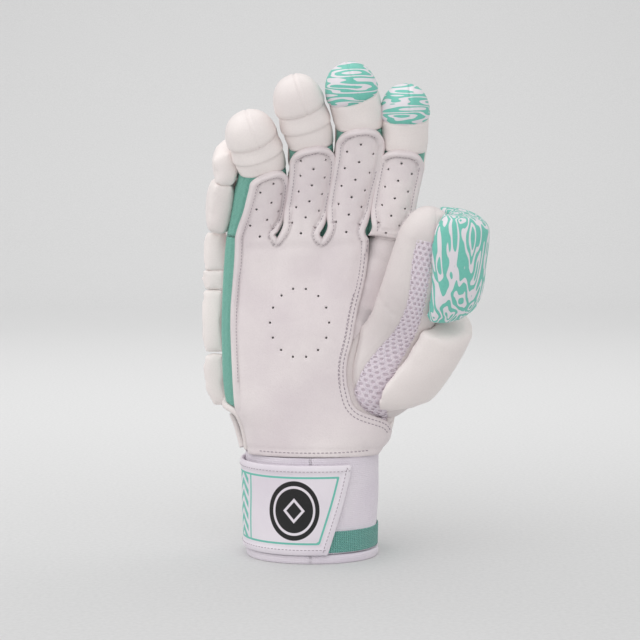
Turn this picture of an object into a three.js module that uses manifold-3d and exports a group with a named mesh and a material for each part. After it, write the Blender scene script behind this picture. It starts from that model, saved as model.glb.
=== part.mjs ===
// Right-hand cricket batting glove, in millimetres, standing on its cuff.
// The palm faces -Y, the fingers point up +Z and the thumb is on the +X side.
// Every piece is a wall or a pad laid on one of four tubes: cuff, hand, four fingers and thumb.
// An angle on a tube is 0 at the palm, 90 towards the thumb, 180 at the back and -90 at the little finger
// side.
import * as THREE from "three";
import { mergeVertices } from "three/addons/utils/BufferGeometryUtils.js";
import Module from "manifold-3d";

const wasm = await Module();
wasm.setup();

// Walls, layers and clearances
const wall = 1.3; // leather and gusset cloth
const cuffWall = 3.6; // padded knit of the wrist band
const clearance = 0.35; // between neighbouring pieces
const lapGap = 0.6; // between a wall and one that laps over it
const lap = 2.2; // how far one wall runs under the next
const strapWall = 1.6;
const bandWall = 0.8;
const hemWall = 1.1;
const bindingDiameter = 3.2;
const perforationDiameter = 1.5;

// Cuff and strap
const cuffHeight = 62;
const wristWidth = 78;
const wristDepth = 57;
const hemHeight = 5;
const bandHeight = 12.5;
const bandLift = 1.2; // above the hem
const strapHeight = 51;
const strapLift = 6;
const strapEnd = 22; // right of the centreline, at the strap's top corner

// Hand
const palmHeight = 124;
const knuckleWidth = 106;
const palmDepth = 30;
const ventHeight = 26.7; // of the slit above the cuff on the little finger side, at the palm

// Fingers
const fingerWidth = 26;
const fingerDepth = 26;
const fingerLengths = { little: 68, ring: 88, middle: 94, index: 81 };
const fingerBends = { little: 34, ring: 28, middle: 24, index: 22 };

// Thumb
const thumbHeight = 125; // from its root to its tip
const thumbSpread = 31; // how far its tip stands to the right of its root
const thumbReach = 29; // how far it stands in front of its root
const thumbWidth = 33;
const thumbDepth = 31;

// Pads
const rollHeight = 15; // finger rolls above the back of the finger
const tipPad = 9.5; // over a fingertip
const handPad = 14; // on the back of the hand
const sidePad = 16; // on the little finger side of the hand
const thumbPad = 19;
const padEdge = 0.55; // height of a pad's edge, as a share of its full height

const colours = {
  palm: [0xd9d2d2, 0.62],
  padLeather: [0xe6e2df, 0.5],
  gusset: [0x6fb3a2, 0.9],
  print: [0x77c2b2, 0.48],
  mesh: [0xd9d0d6, 0.85],
  knit: [0xdcd6dc, 0.85],
  strap: [0xe2dde2, 0.55],
};

const rad = THREE.MathUtils.degToRad;
const lerp = THREE.MathUtils.lerp;
const smooth = THREE.MathUtils.smoothstep;
const vec = (x, y, z) => new THREE.Vector3(x, y, z);
const steps = (count) => Array.from({ length: count + 1 }, (_, i) => i / count);

// A value from a table of rows, on a smooth curve through them. The first column is the place along the
// table.
function column(table, name, at) {
  const key = Object.keys(table[0])[0];
  const last = table.length - 1;
  const slope = (i) => {
    const a = table[Math.max(i - 1, 0)];
    const b = table[Math.min(i + 1, last)];
    return (b[name] - a[name]) / (b[key] - a[key]);
  };
  if (at <= table[0][key]) return table[0][name];
  if (at >= table[last][key]) return table[last][name];
  const i = table.findIndex((row) => row[key] > at) - 1;
  const span = table[i + 1][key] - table[i][key];
  const t = (at - table[i][key]) / span;
  const h = t * t * (3 - 2 * t);
  return (
    lerp(table[i][name], table[i + 1][name], h) +
    span * (t * (1 - t) * (1 - t) * slope(i) - t * t * (1 - t) * slope(i + 1))
  );
}

// Point of a rounded section, at an angle, with half-widths to the right and the front.
function rounded(angle, halfWidth, halfDepth, square) {
  const s = Math.sin(rad(angle));
  const c = Math.cos(rad(angle));
  const power = 2 / square;
  return {
    side: Math.sign(s) * halfWidth * Math.abs(s) ** power,
    front: Math.sign(c) * halfDepth * Math.abs(c) ** power,
  };
}

// Closed solid between two matching sheets of points. Faces hold three or four indices, seen from outside.
function solidBetween(inner, outer, faces) {
  const count = inner.length;
  const triangles = [];
  const edges = new Map();
  const addTriangle = (a, b, c) => {
    if (a !== b && b !== c && c !== a) triangles.push(a, b, c);
  };
  for (const face of faces) {
    const ring = face.filter((v, i) => v !== face[(i + 1) % face.length]);
    for (let i = 2; i < ring.length; i++) {
      addTriangle(ring[0] + count, ring[i - 1] + count, ring[i] + count);
      addTriangle(ring[0], ring[i], ring[i - 1]);
    }
    ring.forEach((v, i) => {
      const w = ring[(i + 1) % ring.length];
      if (edges.has(`${w},${v}`)) edges.delete(`${w},${v}`);
      else edges.set(`${v},${w}`, [v, w]);
    });
  }
  for (const [v, w] of edges.values()) {
    addTriangle(v, w, w + count);
    addTriangle(v, w + count, v + count);
  }
  const geometry = new THREE.BufferGeometry();
  const flat = [...inner, ...outer].flatMap((p) => [p.x, p.y, p.z]);
  geometry.setAttribute("position", new THREE.Float32BufferAttribute(flat, 3));
  geometry.setIndex(triangles);
  return geometry;
}

// The points of a sheet moved along the sheet's own normals. height(i) is how far point i moves.
function raised(points, faces, height) {
  const sheet = new THREE.BufferGeometry();
  sheet.setAttribute("position", new THREE.Float32BufferAttribute(points.flatMap((p) => [p.x, p.y, p.z]), 3));
  sheet.setIndex(
    faces.flatMap((face) => {
      const ring = face.filter((v, i) => v !== face[(i + 1) % face.length]);
      return ring.slice(2).flatMap((v, i) => [ring[0], ring[i + 1], v]);
    }),
  );
  sheet.computeVertexNormals();
  const normal = (i) => vec().fromBufferAttribute(sheet.attributes.normal, i);
  return points.map((p, i) => p.clone().addScaledVector(normal(i), height(i)));
}

// Wall on a sheet of points, between two heights above it. The upper one may differ from point to point.
function thicken(points, faces, from, to) {
  const top = typeof to === "number" ? () => to : to;
  return solidBetween(raised(points, faces, () => from), raised(points, faces, top), faces);
}

// Faces of a grid whose points run along each row, row after row. A closed grid joins its last column to its
// first.
function gridFaces(rows, columns, closed = false) {
  const faces = [];
  for (let i = 0; i < rows; i++) {
    for (let j = 0; j < columns; j++) {
      const width = closed ? columns : columns + 1;
      const next = closed ? (j + 1) % columns : j + 1;
      faces.push([i * width + j, i * width + next, (i + 1) * width + next, (i + 1) * width + j]);
    }
  }
  return faces;
}

function gridPoints(rowValues, columnValues, pointAt) {
  return rowValues.flatMap((r) => columnValues.map((c) => pointAt(c, r)));
}

function toManifold(geometry) {
  const bare = geometry.clone();
  bare.deleteAttribute("normal");
  bare.deleteAttribute("uv");
  const merged = mergeVertices(bare, 1e-4);
  return new wasm.Manifold(
    new wasm.Mesh({
      numProp: 3,
      vertProperties: new Float32Array(merged.attributes.position.array),
      triVerts: new Uint32Array(merged.index.array),
    }),
  );
}

function toGeometry(manifold) {
  const mesh = manifold.getMesh();
  const geometry = new THREE.BufferGeometry();
  geometry.setAttribute("position", new THREE.Float32BufferAttribute(mesh.vertProperties, 3));
  geometry.setIndex([...mesh.triVerts]);
  return geometry;
}

const cut = (geometry, ...tools) =>
  toGeometry(tools.reduce((solid, tool) => solid.subtract(toManifold(tool)), toManifold(geometry)));

const glove = new THREE.Group();
function add(name, geometry, colour) {
  const [shade, roughness] = colours[colour];
  const mesh = new THREE.Mesh(
    geometry,
    new THREE.MeshStandardMaterial({ color: shade, roughness, metalness: 0 }),
  );
  mesh.name = name;
  glove.add(mesh);
}

// The hand: rise is the share of palmHeight above the cuff, the widths are shares of knuckleWidth on each side
// of the centreline and the depths are shares of palmDepth.
const handTable = [
  { rise: 0, left: 0.35, right: 0.375, front: 0.86, back: 0.86, square: 2.2 },
  { rise: 0.12, left: 0.385, right: 0.45, front: 0.82, back: 0.82, square: 2.2 },
  { rise: 0.24, left: 0.455, right: 0.455, front: 0.76, back: 0.74, square: 2.3 },
  { rise: 0.5, left: 0.475, right: 0.44, front: 0.66, back: 0.62, square: 2.5 },
  { rise: 0.78, left: 0.475, right: 0.47, front: 0.56, back: 0.54, square: 2.8 },
  { rise: 1, left: 0.47, right: 0.515, front: 0.46, back: 0.47, square: 3.2 },
];

function handPoint(angle, rise, offset = 0) {
  const get = (name) => column(handTable, name, rise);
  const left = get("left") * knuckleWidth;
  const right = get("right") * knuckleWidth;
  const depth = Math.abs(angle) < 90 || Math.abs(angle) > 270 ? get("front") : get("back");
  const p = rounded(angle, (left + right) / 2 + offset, depth * palmDepth + offset, get("square"));
  return vec((right - left) / 2 + p.side, -p.front, cuffHeight + rise * palmHeight);
}

// Angle on the hand tube whose point lies at a given x, on the palm side.
function handAngleAt(x, rise) {
  const left = column(handTable, "left", rise) * knuckleWidth;
  const right = column(handTable, "right", rise) * knuckleWidth;
  const share = (x - (right - left) / 2) / ((left + right) / 2);
  const s = Math.abs(share) ** (column(handTable, "square", rise) / 2);
  return THREE.MathUtils.radToDeg(Math.asin(Math.min(s, 1))) * Math.sign(share);
}

// The fingers: along is the share of the finger's length, across the centre's x as a share of knuckleWidth,
// wide and deep the half-sizes as shares of fingerWidth and fingerDepth. A finger turns about itself by turn
// degrees, towards the thumb when positive.
const fingerTables = {
  little: [
    { along: 0, across: -0.32, wide: 0.56, deep: 0.49, turn: 4 },
    { along: 0.34, across: -0.28, wide: 0.57, deep: 0.49, turn: 12 },
    { along: 0.6, across: -0.26, wide: 0.52, deep: 0.47, turn: 10 },
    { along: 1, across: -0.332, wide: 0.48, deep: 0.47, turn: 0 },
  ],
  ring: [
    { along: 0, across: -0.058, wide: 0.45, deep: 0.5, turn: 0 },
    { along: 0.28, across: -0.014, wide: 0.45, deep: 0.49, turn: 5 },
    { along: 0.62, across: 0.004, wide: 0.485, deep: 0.47, turn: 5 },
    { along: 1, across: -0.08, wide: 0.48, deep: 0.47, turn: 0 },
  ],
  middle: [
    { along: 0, across: 0.19, wide: 0.45, deep: 0.5, turn: 0 },
    { along: 0.26, across: 0.215, wide: 0.45, deep: 0.49, turn: 3 },
    { along: 0.55, across: 0.262, wide: 0.51, deep: 0.47, turn: 3 },
    { along: 0.75, across: 0.262, wide: 0.5, deep: 0.47, turn: 2 },
    { along: 1, across: 0.203, wide: 0.51, deep: 0.47, turn: 0 },
  ],
  index: [
    { along: 0, across: 0.43, wide: 0.45, deep: 0.5, turn: 0 },
    { along: 0.3, across: 0.465, wide: 0.45, deep: 0.49, turn: -4 },
    { along: 0.62, across: 0.508, wide: 0.465, deep: 0.47, turn: -6 },
    { along: 1, across: 0.51, wide: 0.47, deep: 0.47, turn: 0 },
  ],
};
// creaseAt is where the palm leather ends on each finger and capAt where the fingertip pad begins, as shares
// of its length. The palm leather starts at the angle tongueFrom.
const fingers = [
  { name: "little", creaseAt: 0.63, capAt: 0.86, tongueFrom: -34 },
  { name: "ring", creaseAt: 0.65, capAt: 0.86, tongueFrom: -58 },
  { name: "middle", creaseAt: 0.72, capAt: 0.87, tongueFrom: -58 },
  { name: "index", creaseAt: 0.67, capAt: 0.86, tongueFrom: -58 },
];
const [little, ring, middle, index] = fingers;
const domeFrom = 0.85; // share of a finger's or thumb's length where its end starts to close
const tubeSquare = 2.3;

// Side and front directions of a tube that runs along a spine, turned about it.
function frameOf(spine, at, turn) {
  const step = 1e-3;
  const tangent = spine(at + step).sub(spine(at - step)).normalize();
  const side = vec(1, 0, 0).addScaledVector(tangent, -tangent.x).normalize();
  const front = side.clone().cross(tangent);
  const turned = (a, b, sign) =>
    a.clone().multiplyScalar(Math.cos(rad(turn))).addScaledVector(b, sign * Math.sin(rad(turn)));
  return { side: turned(side, front, -1), front: turned(front, side, 1) };
}

// Point on a tube whose end closes in a dome. A wall's outer face lies on the tube's full size.
function tubePoint(spine, angle, along, turn, halfWidth, halfDepth, offset) {
  const share = Math.max(0, (along - domeFrom) / (1 - domeFrom));
  const scale = Math.max(0, 1 - share ** 2.4) ** (1 / 2.4);
  const frame = frameOf(spine, along, turn);
  const size = (half) => (half - wall + offset) * scale;
  const p = rounded(angle, size(halfWidth), size(halfDepth), tubeSquare);
  return spine(along).addScaledVector(frame.side, p.side).addScaledVector(frame.front, p.front);
}

// swell widens the section to its sides and deepens its back, as a roll does.
function fingerPoint(finger, angle, along, offset = 0, swell = { side: 0, back: 0 }) {
  const length = fingerLengths[finger.name];
  const bend = rad(fingerBends[finger.name]);
  const get = (name) => column(fingerTables[finger.name], name, along);
  const spine = (t) =>
    vec(
      column(fingerTables[finger.name], "across", t) * knuckleWidth,
      (-length * (1 - Math.cos(bend * t))) / bend,
      cuffHeight + palmHeight + (length * Math.sin(bend * t)) / bend,
    );
  const halfWidth = get("wide") * fingerWidth + swell.side;
  const halfDepth = get("deep") * fingerDepth + swell.back;
  return tubePoint(spine, angle, along, get("turn"), halfWidth, halfDepth, offset);
}

// The palm leather's front on a finger, between two angles, narrowing to a round end at the crease.
const tongueBase = 40;
const tongueTo = 58;
const tongueEnd = 0.13; // share of the finger's length that the round end takes
function tongueAngle(finger, along, share) {
  const spread = smooth(along, 0, 0.25);
  const from = lerp(-tongueBase, finger.tongueFrom, spread);
  const to = lerp(tongueBase, tongueTo, spread);
  const end = Math.max(0, (along - finger.creaseAt + tongueEnd) / tongueEnd);
  const squeeze = Math.sqrt(Math.max(0, 1 - end * end));
  return (from + to) / 2 + (share - 0.5) * (to - from) * squeeze;
}
function tongueRows(finger) {
  const straight = finger.creaseAt - tongueEnd;
  const rows = [0.1, 0.35, 0.6, 0.8, 1].map((s) => s * straight);
  return [...rows, ...[0.5, 0.8, 0.95].map((s) => straight + tongueEnd * s)];
}
const tongueAt = (finger, along, share) => fingerPoint(finger, tongueAngle(finger, along, share), along);

// A sheet on the hand that splits into one strip for each of its fingers, and the hand's surface below them.
const cells = 4; // across each finger
function splitSurface(members, handAt, stripAt) {
  const foot = (u) => {
    const place = u * members.length;
    const k = Math.min(Math.floor(place + 1e-6), members.length - 1);
    const here = stripAt(members[k], 0, place - k);
    if (k === 0 || Math.abs(place - k) > 1e-6) return here;
    return here.add(stripAt(members[k - 1], 0, 1)).multiplyScalar(0.5);
  };
  return (u, rise) => handAt(u, rise).lerp(foot(u), smooth(rise, 0.55, 1));
}
function splitSheet(members, handRows, surface, stripRows, stripAt) {
  const points = [];
  const faces = [];
  const places = new Map();
  const vertex = (key, make) => {
    if (!places.has(key)) {
      places.set(key, points.length);
      points.push(make());
    }
    return places.get(key);
  };
  const columns = members.length * cells;
  const top = handRows.length - 1;
  const handVertex = (i, j) => vertex(`hand ${i} ${j}`, () => surface(j / columns, handRows[i]));
  const addCell = (at, i, j) => faces.push([at(i, j), at(i, j + 1), at(i + 1, j + 1), at(i + 1, j)]);
  for (let i = 0; i < top; i++) for (let j = 0; j < columns; j++) addCell(handVertex, i, j);
  members.forEach((finger, k) => {
    const rows = stripRows(finger);
    const stripVertex = (i, j) =>
      i < 0
        ? handVertex(top, k * cells + j)
        : vertex(`${finger.name} ${i} ${j}`, () => stripAt(finger, rows[i], j / cells));
    for (let i = -1; i < rows.length - 1; i++) for (let j = 0; j < cells; j++) addCell(stripVertex, i, j);
  });
  return { points, faces };
}

// The palm's edges, x as shares of knuckleWidth. Its right edge is the seam round the thumb.
const palmEdges = [
  { rise: 0.004, left: -0.318, right: 0.352 },
  { rise: 0.08, left: -0.33, right: 0.418 },
  { rise: 0.15, left: -0.352, right: 0.4 },
  { rise: 0.21, left: -0.388, right: 0.25 },
  { rise: 0.3, left: -0.4, right: 0.2 },
  { rise: 0.42, left: -0.408, right: 0.19 },
  { rise: 0.56, left: -0.415, right: 0.225 },
  { rise: 0.7, left: -0.42, right: 0.24 },
  { rise: 0.86, left: -0.42, right: 0.265 },
  { rise: 1, left: -0.42, right: 0.285 },
];
const outerLayer = wall + lapGap; // a lapping wall lies this far off the tube
const handFront = (x, rise) => handPoint(handAngleAt(x, rise), rise);
const palmEdge = (side, rise) => column(palmEdges, side, rise) * knuckleWidth;
const palmMembers = [little, ring, middle];
const palmSurface = splitSurface(
  palmMembers,
  (u, rise) => handFront(lerp(palmEdge("left", rise), palmEdge("right", rise), u), rise),
  tongueAt,
);
// A place under the palm's thumb seam, lap from its edge.
function underSeam(rise) {
  return palmSurface(1 - lap / (palmEdge("right", rise) - palmEdge("left", rise)), rise);
}

// Punched holes through a wall, each along a direction.
function punches(places) {
  return places.map(({ point, direction }) => {
    const hole = new THREE.CylinderGeometry(perforationDiameter / 2, perforationDiameter / 2, 6 * wall, 6);
    hole.applyQuaternion(new THREE.Quaternion().setFromUnitVectors(vec(0, 1, 0), direction));
    return hole.translate(point.x, point.y, point.z);
  });
}

// An oval ring of holes in the middle of the palm.
const oval = { holes: 14, width: 34, height: 40, above: 77, across: -6 };
function palmHoles() {
  return steps(oval.holes).slice(1).map((share) => {
    const x = oval.across + (oval.width / 2) * Math.sin(2 * Math.PI * share);
    const rise = (oval.above - (oval.height / 2) * Math.cos(2 * Math.PI * share)) / palmHeight;
    const point = handFront(x, rise);
    return { point: point.add(vec(0, -outerLayer, 0)), direction: vec(0, 1, 0) };
  });
}

// Staggered rows of holes up a finger, as shares of the palm leather's length and width there.
const fingerHoles = [
  { along: 0.12, share: 0.5 },
  { along: 0.22, share: 0.26 },
  { along: 0.22, share: 0.74 },
  { along: 0.34, share: 0.5 },
  { along: 0.46, share: 0.26 },
  { along: 0.46, share: 0.74 },
  { along: 0.58, share: 0.5 },
  { along: 0.7, share: 0.26 },
  { along: 0.7, share: 0.74 },
  { along: 0.83, share: 0.5 },
];
function tongueHoles(finger) {
  return fingerHoles.map(({ along, share }) => {
    const at = along * finger.creaseAt;
    const angle = tongueAngle(finger, Math.min(at, finger.creaseAt - tongueEnd), share);
    const point = fingerPoint(finger, angle, at, outerLayer);
    return { point, direction: fingerPoint(finger, angle, at, 2 * outerLayer).sub(point).normalize() };
  });
}

function addPalm() {
  const rows = palmEdges.map((row) => row.rise);
  const sheet = splitSheet(palmMembers, rows, palmSurface, tongueRows, tongueAt);
  const solid = thicken(sheet.points, sheet.faces, outerLayer, outerLayer + wall);
  const holes = [...palmHoles(), ...palmMembers.flatMap(tongueHoles)];
  add("palm", cut(solid, ...punches(holes)), "palm");
}

// The index finger's front is a piece of its own, sewn on along its foot.
function addIndexFront() {
  const rows = tongueRows(index);
  const points = gridPoints(rows, steps(cells), (share, along) => tongueAt(index, along, share));
  const solid = thicken(points, gridFaces(rows.length - 1, cells), outerLayer, outerLayer + wall);
  add("index_front", cut(solid, ...punches(tongueHoles(index))), "palm");
}

// The back wall, under the rolls and pads. Its two edges, in degrees, make room for the thumb and for the slit.
const backEdge = 103;
const backEdges = [
  { rise: 0.004, thumb: 76, side: 278 },
  { rise: 0.08, thumb: 74, side: 271 },
  { rise: 0.14, thumb: 74, side: 265 },
  { rise: 0.19, thumb: 122, side: 360 - backEdge },
  { rise: 0.34, thumb: 134, side: 360 - backEdge },
  { rise: 0.56, thumb: 132, side: 360 - backEdge },
  { rise: 0.7, thumb: backEdge, side: 360 - backEdge },
  { rise: 0.85, thumb: backEdge, side: 360 - backEdge },
  { rise: 1, thumb: backEdge, side: 360 - backEdge },
];
const backMembers = [index, middle, ring, little];
const backStrip = (finger, along, share) =>
  fingerPoint(finger, lerp(backEdge, 360 - backEdge, share), along);
const backSurface = splitSurface(
  backMembers,
  (u, rise) => handPoint(lerp(column(backEdges, "thumb", rise), column(backEdges, "side", rise), u), rise),
  backStrip,
);
function addBack() {
  const rows = backEdges.map((row) => row.rise);
  const stripRows = (finger) => [0.12, 0.3, 0.5, 0.7, 0.95].map((s) => s * finger.capAt);
  const sheet = splitSheet(backMembers, rows, backSurface, stripRows, backStrip);
  add("back_panel", thicken(sheet.points, sheet.faces, 0, wall), "padLeather");
}

// Gussets between two fingers run down one side, round the fork and up the other side.
const gussetTuck = 9; // degrees that a gusset runs under the palm leather
const gussetTop = 0.03; // below the crease, as a share of the finger's length
const gussetBack = backEdge - 4;
function gussetAngles(finger, along, side, count) {
  const front = tongueAngle(finger, along, side > 0 ? 1 : 0) - side * gussetTuck;
  return steps(count).map((share) => lerp(front, side * gussetBack, share));
}
const gussetRow = (finger, along, side, count) =>
  gussetAngles(finger, along, side, count).map((angle) => fingerPoint(finger, angle, along));
const gussetPlaces = (finger) => [0.04, 0.3, 0.55, 0.8, 0.92, 1].map((s) => s * (finger.creaseAt - gussetTop));
function addFork(left, right) {
  const down = gussetPlaces(left).map((along) => gussetRow(left, along, 1, 2)).reverse();
  const up = gussetPlaces(right).map((along) => gussetRow(right, along, -1, 2));
  const rows = [...down, ...up];
  const faces = gridFaces(rows.length - 1, 2).map((face) => face.reverse());
  add(`gusset_${left.name}_${right.name}`, thicken(rows.flat(), faces, 0, wall), "gusset");
}

// The long gusset on the little finger side runs on down the hand to the slit. Its foot slants.
const sideCells = 3;
const ventSlant = 4.3; // how much higher the slit ends at the back
const sideFoot = [ventHeight / palmHeight, (ventHeight + ventSlant) / palmHeight];
function addLittleGusset() {
  const handRow = (share) =>
    steps(sideCells).map((s) => {
      const rise = lerp(lerp(sideFoot[0], sideFoot[1], s), 1, share);
      const front = handAngleAt(palmEdge("left", rise) + lap, rise);
      const onHand = handPoint(lerp(front, -gussetBack, s), rise);
      return onHand.lerp(gussetRow(little, 0, -1, sideCells)[s * sideCells], smooth(rise, 0.55, 1));
    });
  const hand = [0, 0.2, 0.45, 0.7, 0.95].map(handRow);
  const finger = gussetPlaces(little).slice(1).map((along) => gussetRow(little, along, -1, sideCells));
  const rows = [...hand, ...finger];
  const faces = gridFaces(rows.length - 1, sideCells).map((face) => face.reverse());
  add("gusset_little_side", thicken(rows.flat(), faces, 0, wall), "gusset");
}

// The web below the index finger runs from under the palm's seam to the back wall, and up the finger's foot.
const webTop = 0.1;
function addWebPanel() {
  const rows = [0.71, 0.8, 0.9, 0.99];
  const columns = steps(5);
  const fingerRow = (along) =>
    columns.map((s) => fingerPoint(index, lerp(gussetTuck - tongueBase + 4, gussetBack, s), along));
  const handRows = rows.map((rise) => {
    const top = fingerRow(0);
    const front = handAngleAt(palmEdge("right", rise) - lap, rise);
    return columns.map((s, i) =>
      handPoint(lerp(front, gussetBack, s), rise).lerp(top[i], smooth(rise, 0.55, 1)),
    );
  });
  const points = [...handRows, fingerRow(0.04), fingerRow(webTop)].flat();
  add("web_panel", thicken(points, gridFaces(5, 5), 0, wall), "palm");
}
function addIndexGusset() {
  const places = gussetPlaces(index).slice(1);
  const rows = [webTop + 0.012, ...places].map((along) => gussetRow(index, along, 1, 2));
  add("gusset_index_side", thicken(rows.flat(), gridFaces(rows.length - 1, 2), 0, wall), "gusset");
}

// A leather band round the front of each fingertip, from the gussets' tops to the fingertip pad.
const seamGap = 0.012; // as a share of a finger's length
function addCap(finger) {
  const from = finger.creaseAt - gussetTop + seamGap;
  const rows = [0, 0.5, 1].map((s) => lerp(from, finger.capAt, s));
  const columns = steps(6).map((s) => lerp(-gussetBack, gussetBack, s));
  const points = gridPoints(rows, columns, (angle, along) => fingerPoint(finger, angle, along));
  add(`${finger.name}_cap`, thicken(points, gridFaces(2, 6), 0, wall), "padLeather");
}

// A pad's height swells from its edges to its middle.
const crown = (s, r) => lerp(padEdge, 1, Math.sqrt(Math.sin(Math.PI * s) * Math.sin(Math.PI * r)));
const plump = (s, r) => crown(s, r) ** 0.5;
const padSeat = outerLayer + 0.25; // a pad stands this far off the tube
function padOn(surface, rows, columns, height, direction, low = padSeat, shape = crown) {
  const points = gridPoints(rows, columns, surface);
  const faces = gridFaces(rows.length - 1, columns.length - 1);
  const seat = raised(points, faces, () => low);
  const tall = gridPoints(steps(rows.length - 1), steps(columns.length - 1), shape);
  const top = seat.map((p, i) => p.clone().addScaledVector(direction, height * tall[i]));
  return solidBetween(seat, top, faces);
}

// Fingertip pads cover the whole tip, thick over its end and thin at the sides.
const tipColumns = 12;
const tipSide = 3.6;
function addTipPad(finger) {
  const start = finger.capAt + (1.5 * clearance) / fingerLengths[finger.name];
  const rows = [0, 0.3, 0.6, 0.83, 0.96].map((s) => lerp(start, 1, s));
  const columns = steps(tipColumns).slice(0, -1).map((s) => 360 * s);
  const points = gridPoints(rows, columns, (angle, along) => fingerPoint(finger, angle, along));
  const faces = gridFaces(rows.length - 1, tipColumns, true);
  const pole = points.length;
  points.push(fingerPoint(finger, 0, 1));
  for (let j = 0; j < tipColumns; j++) {
    faces.push([pole - tipColumns + j, pole - tipColumns + ((j + 1) % tipColumns), pole]);
  }
  const height = (i) => {
    const share = i === pole ? 1 : Math.floor(i / tipColumns) / (rows.length - 1);
    return lerp(tipSide, tipPad, share ** 3) * (i < tipColumns ? 0.8 : 1);
  };
  const colour = finger === middle || finger === index ? "print" : "padLeather";
  add(`${finger.name}_tip_pad`, thicken(points, faces, 0, height), colour);
}

// Rolls behind a finger. The little finger's reach round its outer side.
const rolls = [
  { name: "base", from: 0.03, to: 0.5 },
  { name: "middle", from: 0.515, to: 0.98 },
];
const rollStart = 112; // degrees
const outerRollEnd = 280; // of the little finger's
function addRolls(finger) {
  const reach = { left: finger === little ? sidePad : 0.2, right: finger === index ? 2.4 : 0.2 };
  for (const roll of rolls) {
    const rows = steps(4).map((s) => lerp(roll.from, roll.to, s) * finger.capAt);
    const rollEnd = finger === little ? outerRollEnd : 360 - rollStart;
    const columns = steps(5).map((s) => lerp(rollStart, rollEnd, s));
    const inner = gridPoints(rows, columns, (angle, along) => fingerPoint(finger, angle, along, padSeat));
    const full = gridPoints(rows, columns, (angle, along) => {
      const swell = { side: angle < 180 ? reach.right : reach.left, back: rollHeight };
      return fingerPoint(finger, angle, along, padSeat, swell);
    });
    const tall = gridPoints(steps(4), steps(5), finger === little ? plump : crown);
    const outer = inner.map((p, i) => p.clone().lerp(full[i], tall[i]));
    add(`${finger.name}_${roll.name}_roll`, solidBetween(inner, outer, gridFaces(4, 5)), "padLeather");
  }
}

// Pads on the back of the hand, one column behind each finger, and small pads down the little finger edge.
// Their places are shares of the back wall's width and of the palm's height.
const handPads = [
  { name: "knuckle", from: 0.755, to: 0.975, inset: 0.01, sunk: 1.25 },
  { name: "hand", from: 0.46, to: 0.73, inset: 0.008, sunk: 0 },
];
const padColumns = [0.085, 0.25, 0.5, 0.75, 0.9];
const sidePads = [
  { from: 0.2, to: 0.447, sunk: 0 },
  { from: 0.454, to: 0.752, sunk: 0 },
  { from: 0.759, to: 0.842, sunk: 0.9 },
  { from: 0.849, to: 0.985, sunk: 1.25 },
];
const backwards = vec(0, 1, 0);
// The pads lie on the hand's plain tube, above the dips between the knuckles.
function padSurface(u, rise) {
  return handPoint(lerp(column(backEdges, "thumb", rise), column(backEdges, "side", rise), u), rise);
}
function addHandPads() {
  for (const row of handPads) {
    backMembers.forEach((finger, k) => {
      const rows = steps(4).map((s) => lerp(row.from, row.to, s));
      const columns = steps(4).map((s) => lerp(padColumns[k] + row.inset, padColumns[k + 1] - row.inset, s));
      const seat = padSeat - (finger === index ? 0 : row.sunk);
      const solid = padOn(padSurface, rows, columns, handPad, backwards, seat);
      add(`${finger.name}_${row.name}_pad`, solid, "padLeather");
    });
  }
  const rows = steps(4).map((s) => lerp(0.21, 0.43, s));
  const columns = steps(8).map((s) => lerp(0.03, 0.89, s));
  add("lower_hand_pad", padOn(padSurface, rows, columns, handPad * 0.8, backwards), "padLeather");
}
const sideways = vec(-1, 0.3, 0).normalize();
function addSidePads() {
  sidePads.forEach((pad, i) => {
    const rows = steps(4).map((s) => lerp(pad.from, pad.to, s));
    const columns = steps(4).map((s) => lerp(0.915, 1, s));
    const solid = padOn(padSurface, rows, columns, sidePad, sideways, padSeat - pad.sunk, plump);
    add(`side_pad_${i + 1}`, solid, "padLeather");
  });
}

// The thumb: along is the share of its length, across, rise and reach place its spine between its root and its
// tip, and wide and deep are half-sizes as shares of thumbWidth and thumbDepth. The mesh strip lies between the
// angles mesh and pad, and the thumb's front leather starts at the angle front.
const thumbTable = [
  { along: 0, across: 0, rise: 0, reach: 0, wide: 0.6, deep: 0.5, front: -70, mesh: -34, pad: -8 },
  { along: 0.18, across: 0.17, rise: 0.18, reach: 0.14, wide: 0.66, deep: 0.53, front: -75, mesh: -34, pad: -8 },
  { along: 0.4, across: 0.4, rise: 0.4, reach: 0.45, wide: 0.58, deep: 0.46, front: -85, mesh: -20, pad: 14 },
  { along: 0.62, across: 0.62, rise: 0.61, reach: 0.93, wide: 0.53, deep: 0.43, front: -95, mesh: -5, pad: 20 },
  { along: 0.83, across: 0.82, rise: 0.83, reach: 1.12, wide: 0.47, deep: 0.43, front: -98, mesh: -17, pad: 14 },
  { along: 1, across: 1, rise: 1.01, reach: 1.26, wide: 0.4, deep: 0.4, front: -98, mesh: -17, pad: 7 },
];
const thumbRoot = { across: 38, rise: 22, reach: 2 };
const thumbColumn = (name, along) => column(thumbTable, name, along);
function thumbTube(angle, along, offset = 0, swell = { side: 0, deep: 0 }) {
  const spine = (t) =>
    vec(
      thumbRoot.across + thumbColumn("across", t) * thumbSpread,
      -thumbRoot.reach - thumbColumn("reach", t) * thumbReach,
      cuffHeight + thumbRoot.rise + thumbColumn("rise", t) * thumbHeight,
    );
  const halfWidth = thumbColumn("wide", along) * thumbWidth + swell.side;
  const halfDepth = thumbColumn("deep", along) * thumbDepth + swell.deep;
  return tubePoint(spine, angle, along, 0, halfWidth, halfDepth, offset);
}
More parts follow.
